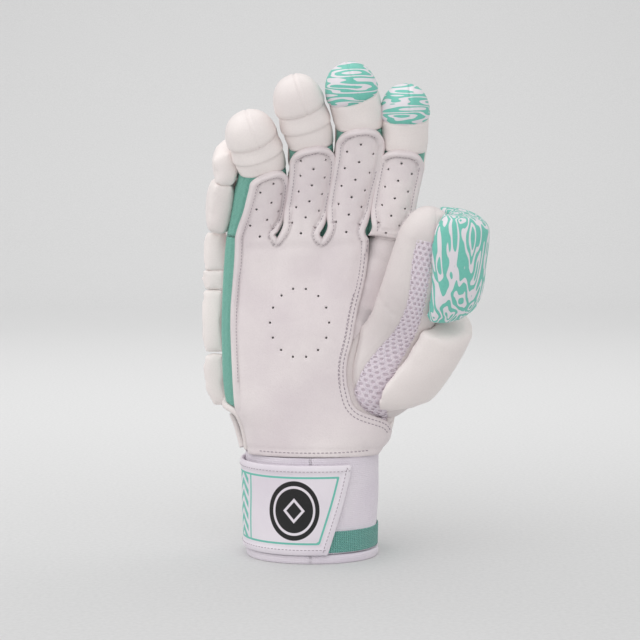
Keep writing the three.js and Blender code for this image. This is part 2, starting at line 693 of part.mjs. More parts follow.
// Low down the tube is open to the hand. There its two edges, front and back, run into the hand's walls.
const thumbOpen = 0.5; // share of the thumb's length that is open
const openTo = (along) => lerp(165, 250, smooth(along, 0, thumbOpen));
const backGap = 5; // degrees between the back wall and the thumb
function thumbPoint(angle, along) {
  const tube = thumbTube(angle, along);
  const merge = 1 - smooth(along, thumbOpen * 0.45, thumbOpen);
  if (merge <= 0) return tube;
  const rise = lerp(thumbRoot.rise, tube.z - cuffHeight, smooth(along, 0, 0.1)) / palmHeight;
  const from = thumbColumn("front", along);
  const to = openTo(along);
  const place = (angle - from) / (to - from);
  const near = underSeam(rise);
  const far = handPoint(column(backEdges, "thumb", rise) - backGap, rise);
  const towards = (anchor, edge, weight) =>
    anchor.clone().sub(thumbTube(edge, along)).multiplyScalar(merge * Math.max(0, weight) ** 2);
  const pulled = tube.add(towards(near, from, 1 - 1.6 * place)).add(towards(far, to, 1.6 * place - 0.6));
  if (place < 0.5) {
    const skin = handFront(pulled.x, rise).y;
    const free = 60 * smooth(pulled.x - palmEdge("right", rise), 5, 16);
    pulled.y = Math.max(pulled.y, skin - free);
  }
  const seatAngle = lerp(handAngleAt(near.x, rise), column(backEdges, "thumb", rise) - backGap, place);
  return pulled.lerp(handPoint(seatAngle, rise, -lapGap), 1 - smooth(along, 0, 0.12));
}
const thumbRows = [0, 0.05, 0.12, 0.22, 0.34, 0.44, 0.5, 0.58, 0.7, 0.83, 0.9];
const thumbEnd = [0.955, 0.99, 0.999];

function thumbStrip(rows, count, from, to) {
  const points = rows.flatMap((along) =>
    steps(count).map((s) => thumbPoint(lerp(from(along), to(along), s), along)),
  );
  return thicken(points, gridFaces(rows.length - 1, count), 0, wall);
}
function addThumb() {
  const get = (name, sign = 0) => (along) => thumbColumn(name, along) + sign * gap(along);
  const gap = (along) => lerp(11, 2.5, smooth(along, 0, 0.25)); // degrees
  const rows = [...thumbRows, ...thumbEnd];
  const round = (along) => 360 + thumbColumn("front", along) - gap(along);
  const close = (along) => lerp(openTo(along), round(along), smooth(along, 0.44, 0.56));
  add("thumb_front", thumbStrip(rows, 4, get("front"), get("mesh", -1)), "palm");
  add("thumb_mesh", thumbStrip(rows, 2, get("mesh"), get("pad")), "mesh");
  add("thumb_back", thumbStrip(rows, 9, get("pad", 1), close), "padLeather");
}

// The web between the palm's seam and the thumb lies back between them.
const webDip = 6;
const webFrom = 0.49; // shares of the palm's height
const webTo = 0.625;
function addThumbWeb() {
  const points = steps(4).flatMap((share) => {
    const rise = lerp(webFrom, webTo, share);
    const along = (rise * palmHeight - thumbRoot.rise) / thumbHeight;
    const near = underSeam(rise);
    const far = thumbPoint(thumbColumn("front", along), along).add(vec(lap, 2 * wall + lapGap, 0));
    return steps(3).map((s) => {
      const p = near.clone().lerp(far, s);
      p.y += webDip * Math.sin(Math.PI * s) * share;
      return p;
    });
  });
  add("thumb_web", thicken(points, gridFaces(4, 3), 0, wall), "palm");
}

// Two thick pads wrap the thumb's outer side: one over its tip and one over its base.
const tipPadTable = [
  { along: 0.545, front: 0.45, side: 0.85, to: 172 },
  { along: 0.62, front: 0.55, side: 1, to: 176 },
  { along: 0.73, front: 0.55, side: 1.08, to: 178 },
  { along: 0.85, front: 0.5, side: 1.1, to: 178 },
  { along: 0.94, front: 0.45, side: 1.15, to: 176 },
  { along: 0.985, front: 0.45, side: 1.15, to: 170 },
];
const basePadTable = [
  { along: 0.07, front: 0.1, side: 0.15, to: 150 },
  { along: 0.12, front: 0.25, side: 0.35, to: 156 },
  { along: 0.22, front: 0.3, side: 0.6, to: 160 },
  { along: 0.35, front: 0.4, side: 0.98, to: 166 },
  { along: 0.47, front: 0.45, side: 1.25, to: 168 },
  { along: 0.51, front: 0.45, side: 1.3, to: 170 },
];
function addThumbPad(name, table, colour) {
  const count = 8;
  const low = padSeat + 0.5;
  const tall = gridPoints(steps(table.length - 1), steps(count), plump);
  const lifted = (height) =>
    table.flatMap((row, i) =>
      steps(count).map((s, j) => {
        const angle = lerp(thumbColumn("pad", row.along) + 4, row.to, s);
        const share = lerp(row.front, row.side, Math.sin(Math.PI * Math.min(1, s * 1.1)));
        const offset = low + height * share * tall[i * (count + 1) + j];
        const level = Math.min(row.along, domeFrom);
        const out = thumbTube(angle, level, offset).sub(thumbTube(angle, level));
        return thumbPoint(angle, row.along).add(out);
      }),
    );
  add(name, solidBetween(lifted(0), lifted(thumbPad), gridFaces(table.length - 1, count)), colour);
}

// The cuff: a padded wrist band with a bound hem, a woven band and a strap round them.
const cuffTable = [
  { share: 0, wide: 0.48, deep: 0.49 },
  { share: 0.5, wide: 0.488, deep: 0.49 },
  { share: 1, wide: 0.5, deep: 0.5 },
];
const cuffShift = 1.2; // of its middle towards the thumb
const ringColumns = 28;
function cuffPoint(angle, height, offset) {
  const halfWidth = column(cuffTable, "wide", height / cuffHeight) * wristWidth - cuffWall + offset;
  const halfDepth = column(cuffTable, "deep", height / cuffHeight) * wristDepth - cuffWall + offset;
  const p = rounded(angle, halfWidth, halfDepth, 2.15);
  return vec(cuffShift + p.side, -p.front, height);
}
function cuffRing(heights, from, to) {
  const columns = steps(ringColumns).slice(0, -1).map((s) => 360 * s);
  const at = (offset) => gridPoints(heights, columns, (angle, height) => cuffPoint(angle, height, offset));
  return solidBetween(at(from), at(to), gridFaces(heights.length - 1, ringColumns, true));
}
const bandFoot = hemHeight + bandLift;
function addCuff() {
  const top = cuffHeight - clearance;
  add("wristband", cuffRing([hemHeight + clearance, cuffHeight / 2, top], 0, cuffWall), "knit");
  add("cuff_hem", cuffRing([0, hemHeight], -hemWall / 2, cuffWall + hemWall), "knit");
  const seat = cuffWall + clearance;
  add("cuff_band", cuffRing([bandFoot, bandFoot + bandHeight], seat, seat + bandWall), "gusset");
}
// The strap's free end slants from its top corner to its foot. The other end is sewn down behind the hand.
const strapSlant = 14;
const strapRoot = -222; // degrees
function addStrap() {
  const rows = steps(3).map((s) => strapLift + s * strapHeight);
  const seat = cuffWall + clearance + bandWall + lapGap;
  const endAngle = (height) => {
    const x = strapEnd - strapSlant * (1 - (height - strapLift) / strapHeight) ** 1.3 - cuffShift;
    return THREE.MathUtils.radToDeg(Math.asin((x / (0.5 * wristWidth)) ** 1.075));
  };
  const row = (height, offset) =>
    steps(20).map((s) => cuffPoint(lerp(strapRoot, endAngle(height), s), height, offset));
  const at = (offset) => rows.flatMap((height) => row(height, offset));
  add("strap", solidBetween(at(seat), at(seat + strapWall), gridFaces(3, 20)), "strap");
}

// Piping round the slit above the cuff, along the palm's corner and along the back wall.
function beadAlong(points) {
  const section = new THREE.Shape();
  section.absarc(0, 0, bindingDiameter / 2, 0, 2 * Math.PI);
  return new THREE.ExtrudeGeometry(section, {
    steps: 12,
    curveSegments: 3,
    bevelEnabled: false,
    extrudePath: new THREE.CatmullRomCurve3(points),
  });
}
const beadGap = (bindingDiameter / 2 + clearance) / palmHeight; // as a share of the palm's height
function addVentBindings() {
  const foot = sideFoot[0] - beadGap * 1.4;
  const beside = (rise) => palmEdge("left", rise) - beadGap * palmHeight * 1.35;
  const front = [
    handPoint(-100, sideFoot[1] - beadGap * 1.3, wall),
    handPoint(-84, lerp(foot, sideFoot[1] - beadGap, 0.5), wall),
    handFront(beside(foot * 0.98), foot * 0.98).add(vec(0, -wall, 0)),
    ...[0.75, 0.5, 0.25, 0.09].map((s) => handFront(beside(foot * s), foot * s).add(vec(0, -wall, 0))),
  ];
  add("vent_binding_front", beadAlong(front), "padLeather");
  const besideBack = 3.6; // degrees
  const back = [0.165, 0.12, 0.07, 0.02].map((rise) =>
    handPoint(column(backEdges, "side", rise) + besideBack, rise, wall),
  );
  add("vent_binding_back", beadAlong(back), "padLeather");
}

addPalm();
addIndexFront();
addBack();
addFork(little, ring);
addFork(ring, middle);
addFork(middle, index);
addLittleGusset();
addWebPanel();
addIndexGusset();
fingers.forEach(addCap);
fingers.forEach(addTipPad);
fingers.forEach(addRolls);
addHandPads();
addSidePads();
addThumb();
addThumbWeb();
addThumbPad("thumb_tip_pad", tipPadTable, "print");
addThumbPad("thumb_base_pad", basePadTable, "padLeather");
addCuff();
addStrap();
addVentBindings();

// The origin is the middle of the glove's box, at its foot.
const box = new THREE.Box3().setFromObject(glove);
const middleOfBox = box.getCenter(vec());
glove.position.set(-middleOfBox.x, -middleOfBox.y, -box.min.z);

export default glove;
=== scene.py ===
import math
from functools import lru_cache

import bpy
import numpy as np
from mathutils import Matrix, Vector, kdtree
from mathutils.bvhtree import BVHTree


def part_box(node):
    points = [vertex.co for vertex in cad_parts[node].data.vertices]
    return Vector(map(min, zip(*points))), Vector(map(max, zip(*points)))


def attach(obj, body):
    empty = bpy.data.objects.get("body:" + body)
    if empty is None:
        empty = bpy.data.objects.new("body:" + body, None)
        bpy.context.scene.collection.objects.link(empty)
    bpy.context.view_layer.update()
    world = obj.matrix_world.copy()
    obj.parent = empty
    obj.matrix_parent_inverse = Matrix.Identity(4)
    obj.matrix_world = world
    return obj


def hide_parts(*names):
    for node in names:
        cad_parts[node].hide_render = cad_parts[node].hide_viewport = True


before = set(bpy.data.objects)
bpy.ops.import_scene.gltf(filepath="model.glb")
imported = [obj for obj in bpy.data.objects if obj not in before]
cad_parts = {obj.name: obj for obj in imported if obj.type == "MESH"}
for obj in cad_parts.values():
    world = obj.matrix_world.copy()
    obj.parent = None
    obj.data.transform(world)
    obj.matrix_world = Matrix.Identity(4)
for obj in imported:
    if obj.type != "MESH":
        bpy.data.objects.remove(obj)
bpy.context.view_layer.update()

# Sizes are in millimetres in the maker's frame, and turn into metres in the row frame when a mesh is made.
hemLow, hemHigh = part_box("cuff_hem")
cuffShift = 1.2
shift = Vector(((hemLow.x + hemHigh.x) * 500 - cuffShift, (hemLow.y + hemHigh.y) * 500, 0))
wall = 1.3
lapGap = 0.6
lap = 2.2
cuffHeight = 62
palmHeight = 124
knuckleWidth = 106
palmDepth = 30
outerLayer = wall + lapGap


def lerp(a, b, t):
    return a + (b - a) * t


def ease(x, low, high):
    t = min(max((x - low) / (high - low), 0), 1)
    return t * t * (3 - 2 * t)


def steps(count, low=0, high=1):
    return [lerp(low, high, i / count) for i in range(count + 1)]


# A value from a table of columns, on a smooth curve through its rows.
def column(table, name, at):
    keys, values = table["at"], table[name]
    last = len(keys) - 1
    if at <= keys[0]:
        return values[0]
    if at >= keys[last]:
        return values[last]
    i = next(k for k in range(last) if keys[k + 1] > at)

    def slope(k):
        a, b = max(k - 1, 0), min(k + 1, last)
        return (values[b] - values[a]) / (keys[b] - keys[a])

    span = keys[i + 1] - keys[i]
    t = (at - keys[i]) / span
    curve = t * (1 - t) ** 2 * slope(i) - t * t * (1 - t) * slope(i + 1)
    return lerp(values[i], values[i + 1], t * t * (3 - 2 * t)) + span * curve


# Sideways and forwards place on a rounded section, at an angle from the palm towards the thumb.
def rounded(angle, halfWidth, halfDepth, square):
    s, c = math.sin(math.radians(angle)), math.cos(math.radians(angle))
    power = 2 / square
    return math.copysign(halfWidth * abs(s) ** power, s), math.copysign(halfDepth * abs(c) ** power, c)


handTable = {
    "at": (0, 0.12, 0.24, 0.5, 0.78, 1),
    "left": (0.35, 0.385, 0.455, 0.475, 0.475, 0.47),
    "right": (0.375, 0.45, 0.455, 0.44, 0.47, 0.515),
    "front": (0.86, 0.82, 0.76, 0.66, 0.56, 0.46),
    "back": (0.86, 0.82, 0.74, 0.62, 0.54, 0.47),
    "square": (2.2, 2.2, 2.3, 2.5, 2.8, 3.2),
}


@lru_cache(maxsize=None)
def handRow(rise):
    return tuple(column(handTable, name, rise) for name in ("left", "right", "front", "back", "square"))


def handPoint(angle, rise, offset=0):
    left, right, front, back, square = handRow(rise)
    left, right = left * knuckleWidth, right * knuckleWidth
    depth = (front if abs(angle) < 90 or abs(angle) > 270 else back) * palmDepth
    side, forward = rounded(angle, (left + right) / 2 + offset, depth + offset, square)
    return Vector(((right - left) / 2 + side, -forward, cuffHeight + rise * palmHeight))


def handAngleAt(x, rise):
    left, right, front, back, square = handRow(rise)
    left, right = left * knuckleWidth, right * knuckleWidth
    share = (x - (right - left) / 2) / ((left + right) / 2)
    return math.copysign(math.degrees(math.asin(min(abs(share) ** (square / 2), 1))), share)


def handFront(x, rise):
    return handPoint(handAngleAt(x, rise), rise)


fingerSize = 26
fingers = {
    "little": {
        "length": 68, "bend": 34, "crease": 0.63, "cap": 0.86, "from": -34, "foot": (-40, 58),
        "at": (0, 0.34, 0.6, 1), "across": (-0.32, -0.28, -0.26, -0.332),
        "wide": (0.56, 0.57, 0.52, 0.48), "deep": (0.49, 0.49, 0.47, 0.47), "turn": (4, 12, 10, 0),
    },
    "ring": {
        "length": 88, "bend": 28, "crease": 0.65, "cap": 0.86, "from": -60, "foot": (-58, 58),
        "at": (0, 0.28, 0.62, 1), "across": (-0.058, -0.014, 0.004, -0.08),
        "wide": (0.45, 0.45, 0.485, 0.48), "deep": (0.5, 0.49, 0.47, 0.47), "turn": (0, 5, 5, 0),
    },
    "middle": {
        "length": 94, "bend": 24, "crease": 0.72, "cap": 0.87, "from": -60, "foot": (-58, 58),
        "at": (0, 0.26, 0.55, 0.75, 1), "across": (0.19, 0.215, 0.262, 0.262, 0.203),
        "wide": (0.45, 0.45, 0.51, 0.5, 0.51), "deep": (0.5, 0.49, 0.47, 0.47, 0.47), "turn": (0, 3, 3, 2, 0),
    },
    "index": {
        "length": 81, "bend": 22, "crease": 0.67, "cap": 0.86, "from": -60, "foot": (-58, 40),
        "at": (0, 0.3, 0.62, 1), "across": (0.43, 0.465, 0.508, 0.51),
        "wide": (0.45, 0.45, 0.465, 0.47), "deep": (0.5, 0.49, 0.47, 0.47), "turn": (0, -4, -6, 0),
    },
}


# Where a tube's section lies: its middle, its two directions and how far its end has closed.
def sectionOf(spine, along, turn):
    tangent = (spine(along + 0.001) - spine(along - 0.001)).normalized()
    side = (Vector((1, 0, 0)) - tangent * tangent.x).normalized()
    front = side.cross(tangent)
    c, s = math.cos(math.radians(turn)), math.sin(math.radians(turn))
    share = max(0, (along - 0.85) / 0.15)
    return spine(along), side * c - front * s, front * c + side * s, max(0, 1 - share**2.4) ** (1 / 2.4)


@lru_cache(maxsize=None)
def fingerSection(name, along):
    finger = fingers[name]
    length, bend = finger["length"], math.radians(finger["bend"])

    def spine(t):
        return Vector((
            column(finger, "across", t) * knuckleWidth,
            -length * (1 - math.cos(bend * t)) / bend,
            cuffHeight + palmHeight + length * math.sin(bend * t) / bend,
        ))

    wide, deep = column(finger, "wide", along) * fingerSize, column(finger, "deep", along) * fingerSize
    return (*sectionOf(spine, along, column(finger, "turn", along)), wide, deep)


def fingerPoint(name, angle, along, offset=0):
    origin, side, front, scale, wide, deep = fingerSection(name, along)
    across, forward = rounded(angle, (wide - wall + offset) * scale, (deep - wall + offset) * scale, 2.3)
    return origin + side * across + front * forward


tongueEnd = 0.13


def tongueAngle(name, along, share):
    finger = fingers[name]
    spread = ease(along, 0, 0.25)
    start, stop = lerp(finger["foot"][0], finger["from"], spread), lerp(finger["foot"][1], 60, spread)
    end = max(0, (along - finger["crease"] + tongueEnd) / tongueEnd)
    squeeze = math.sqrt(max(0, 1 - end * end))
    return (start + stop) / 2 + (share - 0.5) * (stop - start) * squeeze


# Near the palm a strip lies flat across its finger, and neighbouring strips meet in a narrow round fork.
palmMembers = ["little", "ring", "middle"]
forkMembers = [*palmMembers, "index"]
forkValues = {"to": 0.085, "flatTo": 0.22, "flat": 0.8}


def stripPoint(name, along, share):
    place = fingerPoint(name, tongueAngle(name, along, share), along)
    middle = fingerPoint(name, tongueAngle(name, along, 0.5), along)
    place.y = lerp(place.y, middle.y, forkValues["flat"] * (1 - ease(along, 0, forkValues["flatTo"])))
    return place


def tonguePoint(name, along, share):
    place = stripPoint(name, along, share)
    side = 1 if share > 0.5 else -1
    order = forkMembers.index(name) + side
    if along < forkValues["to"] and 0 <= order < len(forkMembers):
        edge = stripPoint(name, along, 0.5 + side / 2)
        other = stripPoint(forkMembers[order], along, 0.5 - side / 2)
        place = place + (other - edge) / 2 * (1 - along / forkValues["to"]) ** 2 * abs(2 * share - 1) ** 4
    return place


palmEdges = {
    "at": (0.004, 0.08, 0.15, 0.21, 0.3, 0.42, 0.56, 0.7, 0.86, 1),
    "left": (-0.318, -0.33, -0.352, -0.388, -0.4, -0.408, -0.415, -0.42, -0.42, -0.42),
    "right": (0.352, 0.418, 0.4, 0.25, 0.2, 0.19, 0.225, 0.24, 0.265, 0.285),
}


def palmEdge(side, rise):
    return column(palmEdges, side, rise) * knuckleWidth


# A sheet on the hand that splits into strips up its fingers. It gives its points and faces.
def splitSurface(members, handAt, stripAt):
    def foot(u):
        place = u * len(members)
        k = min(int(place + 1e-6), len(members) - 1)
        here = stripAt(members[k], 0, place - k)
        if k == 0 or abs(place - k) > 1e-6:
            return here
        return (here + stripAt(members[k - 1], 0, 1)) / 2

    return lambda u, rise: handAt(u, rise).lerp(foot(u) - Vector((0, 0, (1 - rise) * palmHeight)), ease(rise, 0.55, 1))


def splitSheet(members, handRows, surface, stripRows, stripAt, cells):
    points, faces, places = [], [], {}

    def vertex(key, make):
        if key not in places:
            places[key] = len(points)
            points.append(make())
        return places[key]

    columns, top = len(members) * cells, len(handRows) - 1

    def handVertex(i, j):
        return vertex(("hand", i, j), lambda: surface(j / columns, handRows[i]))

    def addCells(at, first, last, width):
        for i in range(first, last):
            faces.extend((at(i, j), at(i, j + 1), at(i + 1, j + 1), at(i + 1, j)) for j in range(width))

    addCells(handVertex, 0, top, columns)
    for k, name in enumerate(members):
        rows = stripRows(name)

        def stripVertex(i, j):
            if i < 0:
                return handVertex(top, k * cells + j)
            return vertex((name, i, j), lambda: stripAt(name, rows[i], j / cells))

        addCells(stripVertex, -1, len(rows) - 1, cells)
    return points, faces


def gridFaces(rows, columns, closed=False, flip=False):
    width = columns if closed else columns + 1
    faces = []
    for i in range(rows):
        for j in range(columns):
            k = (j + 1) % columns if closed else j + 1
            face = (i * width + j, i * width + k, (i + 1) * width + k, (i + 1) * width + j)
            faces.append(face[::-1] if flip else face)
    return faces


def unit(rows):
    return rows / np.maximum(np.linalg.norm(rows, axis=1, keepdims=True), 1e-12)


# Normals of a sheet, its open edges, the way out of the sheet at each edge point, and every point's way to an edge.
def readSheet(points, faces):
    places = np.array([tuple(p) for p in points])
    corners = np.array([face if len(face) == 4 else (*face, face[-1]) for face in faces])
    a, b, c, d = (places[corners[:, k]] for k in range(4))
    cross = np.cross(c - a, d - b)
    normals = np.zeros_like(places)
    for k in range(4):
        np.add.at(normals, corners[:, k], cross)
    normals = unit(normals)
    count = {}
    for face in faces:
        for v, w in zip(face, (*face[1:], face[0])):
            if v == w:
                continue
            if (w, v) in count:
                del count[(w, v)]
            else:
                count[(v, w)] = True
    edges = list(count)
    outward = np.zeros_like(places)
    for v, w in edges:
        way = np.cross(places[w] - places[v], normals[v])
        outward[v] += way
        outward[w] += way
    tree = kdtree.KDTree(max(1, len(edges) * 4))
    for n, (v, w) in enumerate(edges):
        for k in range(4):
            tree.insert(lerp(places[v], places[w], k / 4), n * 4 + k)
    tree.balance()
    reach = np.array([tree.find(p)[2] for p in places]) if edges else np.full(len(places), 99.0)
    return places, normals, edges, unit(outward), reach


def newObject(name, vertices, faces):
    mesh = bpy.data.meshes.new(name)
    mesh.from_pydata([tuple((Vector(v) + shift) * 0.001) for v in vertices], [], faces)
    mesh.validate()
    mesh.update()
    piece = bpy.data.objects.new(name, mesh)
    bpy.context.scene.collection.objects.link(piece)
    mesh.shade_smooth()
    return piece


def pick(*pieces):
    bpy.ops.object.select_all(action="DESELECT")
    for piece in pieces:
        piece.select_set(True)
    bpy.context.view_layer.objects.active = pieces[0]


def applied(piece, kind, **settings):
    modifier = piece.modifiers.new(kind, kind)
    for key, value in settings.items():
        setattr(modifier, key, value)
    pick(piece)
    bpy.ops.object.modifier_apply(modifier=modifier.name)


def addNumbers(piece, name, values):
    layer = piece.data.attributes.new(name, "FLOAT", "POINT")
    layer.data.foreach_set("value", np.asarray(values, np.float32))


def addMap(piece, places):
    layer = piece.data.uv_layers.new(name="laid")
    index = np.zeros(len(piece.data.loops), np.int32)
    piece.data.loops.foreach_get("vertex_index", index)
    layer.data.foreach_set("uv", np.asarray(places, np.float32)[index].ravel())


# A wall on a sheet of points between two heights, with rounded open edges. relief(i, reach) adds to its outer face.
def shell(name, points, faces, low, high, relief=None, bulge=0.45, laid=None):
    places, normals, edges, outward, reach = readSheet(points, faces)
    lift = np.array([relief(i, reach[i]) for i in range(len(places))]) if relief else np.zeros(len(places))
    outer = places + normals * (high + lift)[:, None]
    inner = places + normals * low
    rim = sorted({v for edge in edges for v in edge})
    slot = {v: i for i, v in enumerate(rim)}
    count, vertices = len(places), [*outer, *inner]
    rounds = (40, 90, 140)
    for angle in rounds:
        c, s = math.cos(math.radians(angle)), math.sin(math.radians(angle))
        for v in rim:
            middle, half = (outer[v] + inner[v]) / 2, (outer[v] - inner[v]) / 2
            vertices.append(middle + half * c + outward[v] * bulge * s)
    solid = list(faces) + [tuple(v + count for v in face[::-1]) for face in faces]
    chain = [lambda v: v]
    chain += [lambda v, k=k: 2 * count + k * len(rim) + slot[v] for k in range(len(rounds))]
    chain += [lambda v: v + count]
    for v, w in edges:
        solid.extend((a(w), a(v), b(v), b(w)) for a, b in zip(chain, chain[1:]))
    piece = newObject(name, vertices, solid)
    whole = [*range(count), *range(count), *(rim * len(rounds))]
    addNumbers(piece, "reach", reach[whole])
    if laid is not None:
        addMap(piece, np.asarray(laid)[whole])
    return piece, outer, normals, edges, outward, reach


# Stitches: small threads laid along a line on a surface, sunk a little into it.
stitchValues = {"length": 1.7, "gap": 0.75, "width": 0.3, "proud": 0.12}
rimStitches = {"length": 1.3, "gap": 0.6, "width": 0.22, "proud": 0.02}
strapStitches = {"length": 1.5, "gap": 0.7, "width": 0.22, "proud": 0.05}


def threads(name, lines, tree, values=stitchValues):
    vertices, faces = [], []
    ring, pitch = 5, values["length"] + values["gap"]
    profile = ((-0.5, 0.35), (-0.3, 0.9), (0.3, 0.9), (0.5, 0.35))
    for line in lines:
        places = [Vector(p) for p in line]
        walked = [0]
        for a, b in zip(places, places[1:]):
            walked.append(walked[-1] + (b - a).length)
        at, k = pitch / 2, 0
        while at < walked[-1] - pitch / 2:
            while walked[k + 1] < at:
                k += 1
            share = (at - walked[k]) / max(walked[k + 1] - walked[k], 1e-9)
            way = (places[k + 1] - places[k]).normalized()
            place, normal, _, _ = tree.find_nearest(places[k].lerp(places[k + 1], share))
            at += pitch
            if normal is None:
                continue
            side = normal.cross(way).normalized()
            start = len(vertices)
            for along, size in profile:
                for n in range(ring):
                    turn = 2 * math.pi * n / ring
                    spot = side * math.cos(turn) * values["width"] * size
                    spot += normal * (math.sin(turn) * values["width"] * size + values["proud"] * size)
                    vertices.append(place + way * along * values["length"] + spot)
            for m in range(len(profile) - 1):
                for n in range(ring):
                    o = (n + 1) % ring
                    low, high = start + m * ring, start + (m + 1) * ring
                    faces.append((low + n, low + o, high + o, high + n))
            faces.append(tuple(start + n for n in range(ring))[::-1])
            last = start + (len(profile) - 1) * ring
            faces.append(tuple(last + n for n in range(ring)))
    return newObject(name, vertices, faces)


# The open edge's points in order, moved in from the edge, where keep(point) holds.
def insetLines(places, edges, outward, inset, keep):
    after = dict(edges)
    reached = set(after.values())
    starts = [v for v in after if v not in reached]
    left, lines = set(after), []
    while left:
        v = starts.pop() if starts else next(iter(left))
        loop = [v]
        while v in left:
            left.discard(v)
            v = after[v]
            loop.append(v)
        run = []
        for v in loop:
            if keep(places[v]):
                run.append(Vector(places[v] - outward[v] * inset))
            else:
                if len(run) > 3:
                    lines.append(run)
                run = []
        if len(run) > 3:
            lines.append(run)
    return lines


def surfaceTree(piece):
    vertices = [Vector(v.co) * 1000 - shift for v in piece.data.vertices]
    return BVHTree.FromPolygons(vertices, [tuple(p.vertices) for p in piece.data.polygons])


# A tube along a line of points.
def tubeAlong(name, line, radius, ring, flat):
    vertices, faces = [], []
    for i, place in enumerate(line):
        way = (line[min(i + 1, len(line) - 1)] - line[max(i - 1, 0)]).normalized()
        side = way.cross(Vector((0, -1, 0))).normalized()
        up = side.cross(way)
        for n in range(ring):
            turn = 2 * math.pi * n / ring
            vertices.append(place + side * math.cos(turn) * radius + up * math.sin(turn) * radius * flat)
    for i in range(len(line) - 1):
        for n in range(ring):
            o = (n + 1) % ring
            faces.append((i * ring + n, (i + 1) * ring + n, (i + 1) * ring + o, i * ring + o))
    faces.append(tuple(range(ring)))
    faces.append(tuple(range(len(vertices) - ring, len(vertices)))[::-1])
    return newObject(name, vertices, faces)


def wear(piece, finish, slot, *nodes):
    piece.data.materials.clear()
    piece.data.materials.append(finish)
    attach(piece, "root")
    if nodes:
        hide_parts(*nodes)
    return piece


# Widths of a stretched piece's lines across and its length along the middle, as if its cloth were cut flat; they are
# worked out and not used. rows are the points of its lines across, from one end to the other.
def cutSheet(piece, rows):
    wide = [sum((b - a).length for a, b in zip(row, row[1:])) for row in rows]
    middle = len(rows[0]) // 2
    long = sum((b[middle] - a[middle]).length for a, b in zip(rows, rows[1:]))


# Finishes: a Wire stands for a socket, so that shader maths reads as plain expressions.
class Wire:
    def __init__(self, finish, socket):
        self.finish, self.socket = finish, socket

    def maths(self, operation, first, second=0.0):
        return self.finish.node("ShaderNodeMath", {"operation": operation}, {0: first, 1: second})

    def __add__(self, other):
        return self.maths("ADD", self, other)

    def __radd__(self, other):
        return self.maths("ADD", other, self)

    def __sub__(self, other):
        return self.maths("SUBTRACT", self, other)

    def __rsub__(self, other):
        return self.maths("SUBTRACT", other, self)

    def __mul__(self, other):
        return self.maths("MULTIPLY", self, other)

    def __rmul__(self, other):
        return self.maths("MULTIPLY", other, self)

    def __truediv__(self, other):
        return self.maths("DIVIDE", self, other)

    def sine(self):
        return self.maths("SINE", self)

    def size(self):
        return self.maths("ABSOLUTE", self)

    def fraction(self):
        return self.maths("FRACT", self)


class Finish:
    def __init__(self, name, roughness, coat=0.0, sheen=0.0):
        self.material = bpy.data.materials.new(name)
        self.material.use_nodes = True
        self.tree = self.material.node_tree
        self.shader = self.tree.nodes["Principled BSDF"]
        self.shader.inputs["Roughness"].default_value = roughness
        self.shader.inputs["Coat Weight"].default_value = coat
        self.shader.inputs["Sheen Weight"].default_value = sheen
        self.places = self.node("ShaderNodeTexCoord", {}, {}, "Object")

    def node(self, kind, settings, values, output=0):
        made = self.tree.nodes.new(kind)
        for key, value in settings.items():
            if key == "stops":
                ramp = made.color_ramp
                for i, (place, colour) in enumerate(value):
                    stop = ramp.elements[i] if i < 2 else ramp.elements.new(place)
                    stop.position, stop.color = place, (*colour, 1)
            else:
                setattr(made, key, value)
        for key, value in values.items():
            if isinstance(value, Wire):
                self.tree.links.new(value.socket, made.inputs[key])
            else:
                made.inputs[key].default_value = value
        return Wire(self, made.outputs[output])

    def across(self):
        laid = self.node("ShaderNodeUVMap", {"uv_map": "laid"}, {}, "UV")
        return tuple(self.node("ShaderNodeSeparateXYZ", {}, {0: laid}, k) for k in ("X", "Y"))

    def number(self, name):
        return self.node("ShaderNodeAttribute", {"attribute_name": name}, {}, "Fac")

    def noise(self, scale, detail=3.0, places=None, **more):
        return self.node("ShaderNodeTexNoise", more, {
            "Vector": places or self.places, "Scale": scale, "Detail": detail,
        }, "Fac")

    def cells(self, scale, places=None, **more):
        return self.node("ShaderNodeTexVoronoi", more, {
            "Vector": places or self.places, "Scale": scale,
        }, "Distance")

    def ramp(self, value, low, high):
        return self.node("ShaderNodeMapRange", {"clamp": True}, {
            "Value": value, "From Min": low, "From Max": high,
        })

    def mix(self, share, first, second):
        made = self.tree.nodes.new("ShaderNodeMix")
        made.data_type = "RGBA"
        for key, value in ((0, share), (6, first), (7, second)):
            if isinstance(value, Wire):
                self.tree.links.new(value.socket, made.inputs[key])
            else:
                made.inputs[key].default_value = value if key == 0 else (*value, 1)
        return Wire(self, made.outputs[2])

    def colour(self, value):
        self.tree.links.new(value.socket, self.shader.inputs["Base Color"])

    def roughness(self, value):
        self.tree.links.new(value.socket, self.shader.inputs["Roughness"])

    def bumps(self, height, distance, strength=1.0):
        bump = self.node("ShaderNodeBump", {}, {"Height": height, "Distance": distance, "Strength": strength})
        self.tree.links.new(bump.socket, self.shader.inputs["Normal"])


def linear(red, green, blue):
    return tuple((v / 255 / 12.92) if v < 11 else ((v / 255 + 0.055) / 1.055) ** 2.4 for v in (red, green, blue))


leatherValues = {
    "palm": {"light": (236, 227, 227), "dark": (222, 211, 214), "roughness": 0.56, "grain": 0.00009},
    "pads": {"light": (245, 237, 234), "dark": (235, 226, 224), "roughness": 0.46, "grain": 0.00006},
    # The thumb's leather is the palm and pad leather painted a little darker, as the shade that lies on the thumb.
    "thumb": {"light": (231, 223, 221), "dark": (217, 207, 207), "roughness": 0.5, "grain": 0.00007},
}
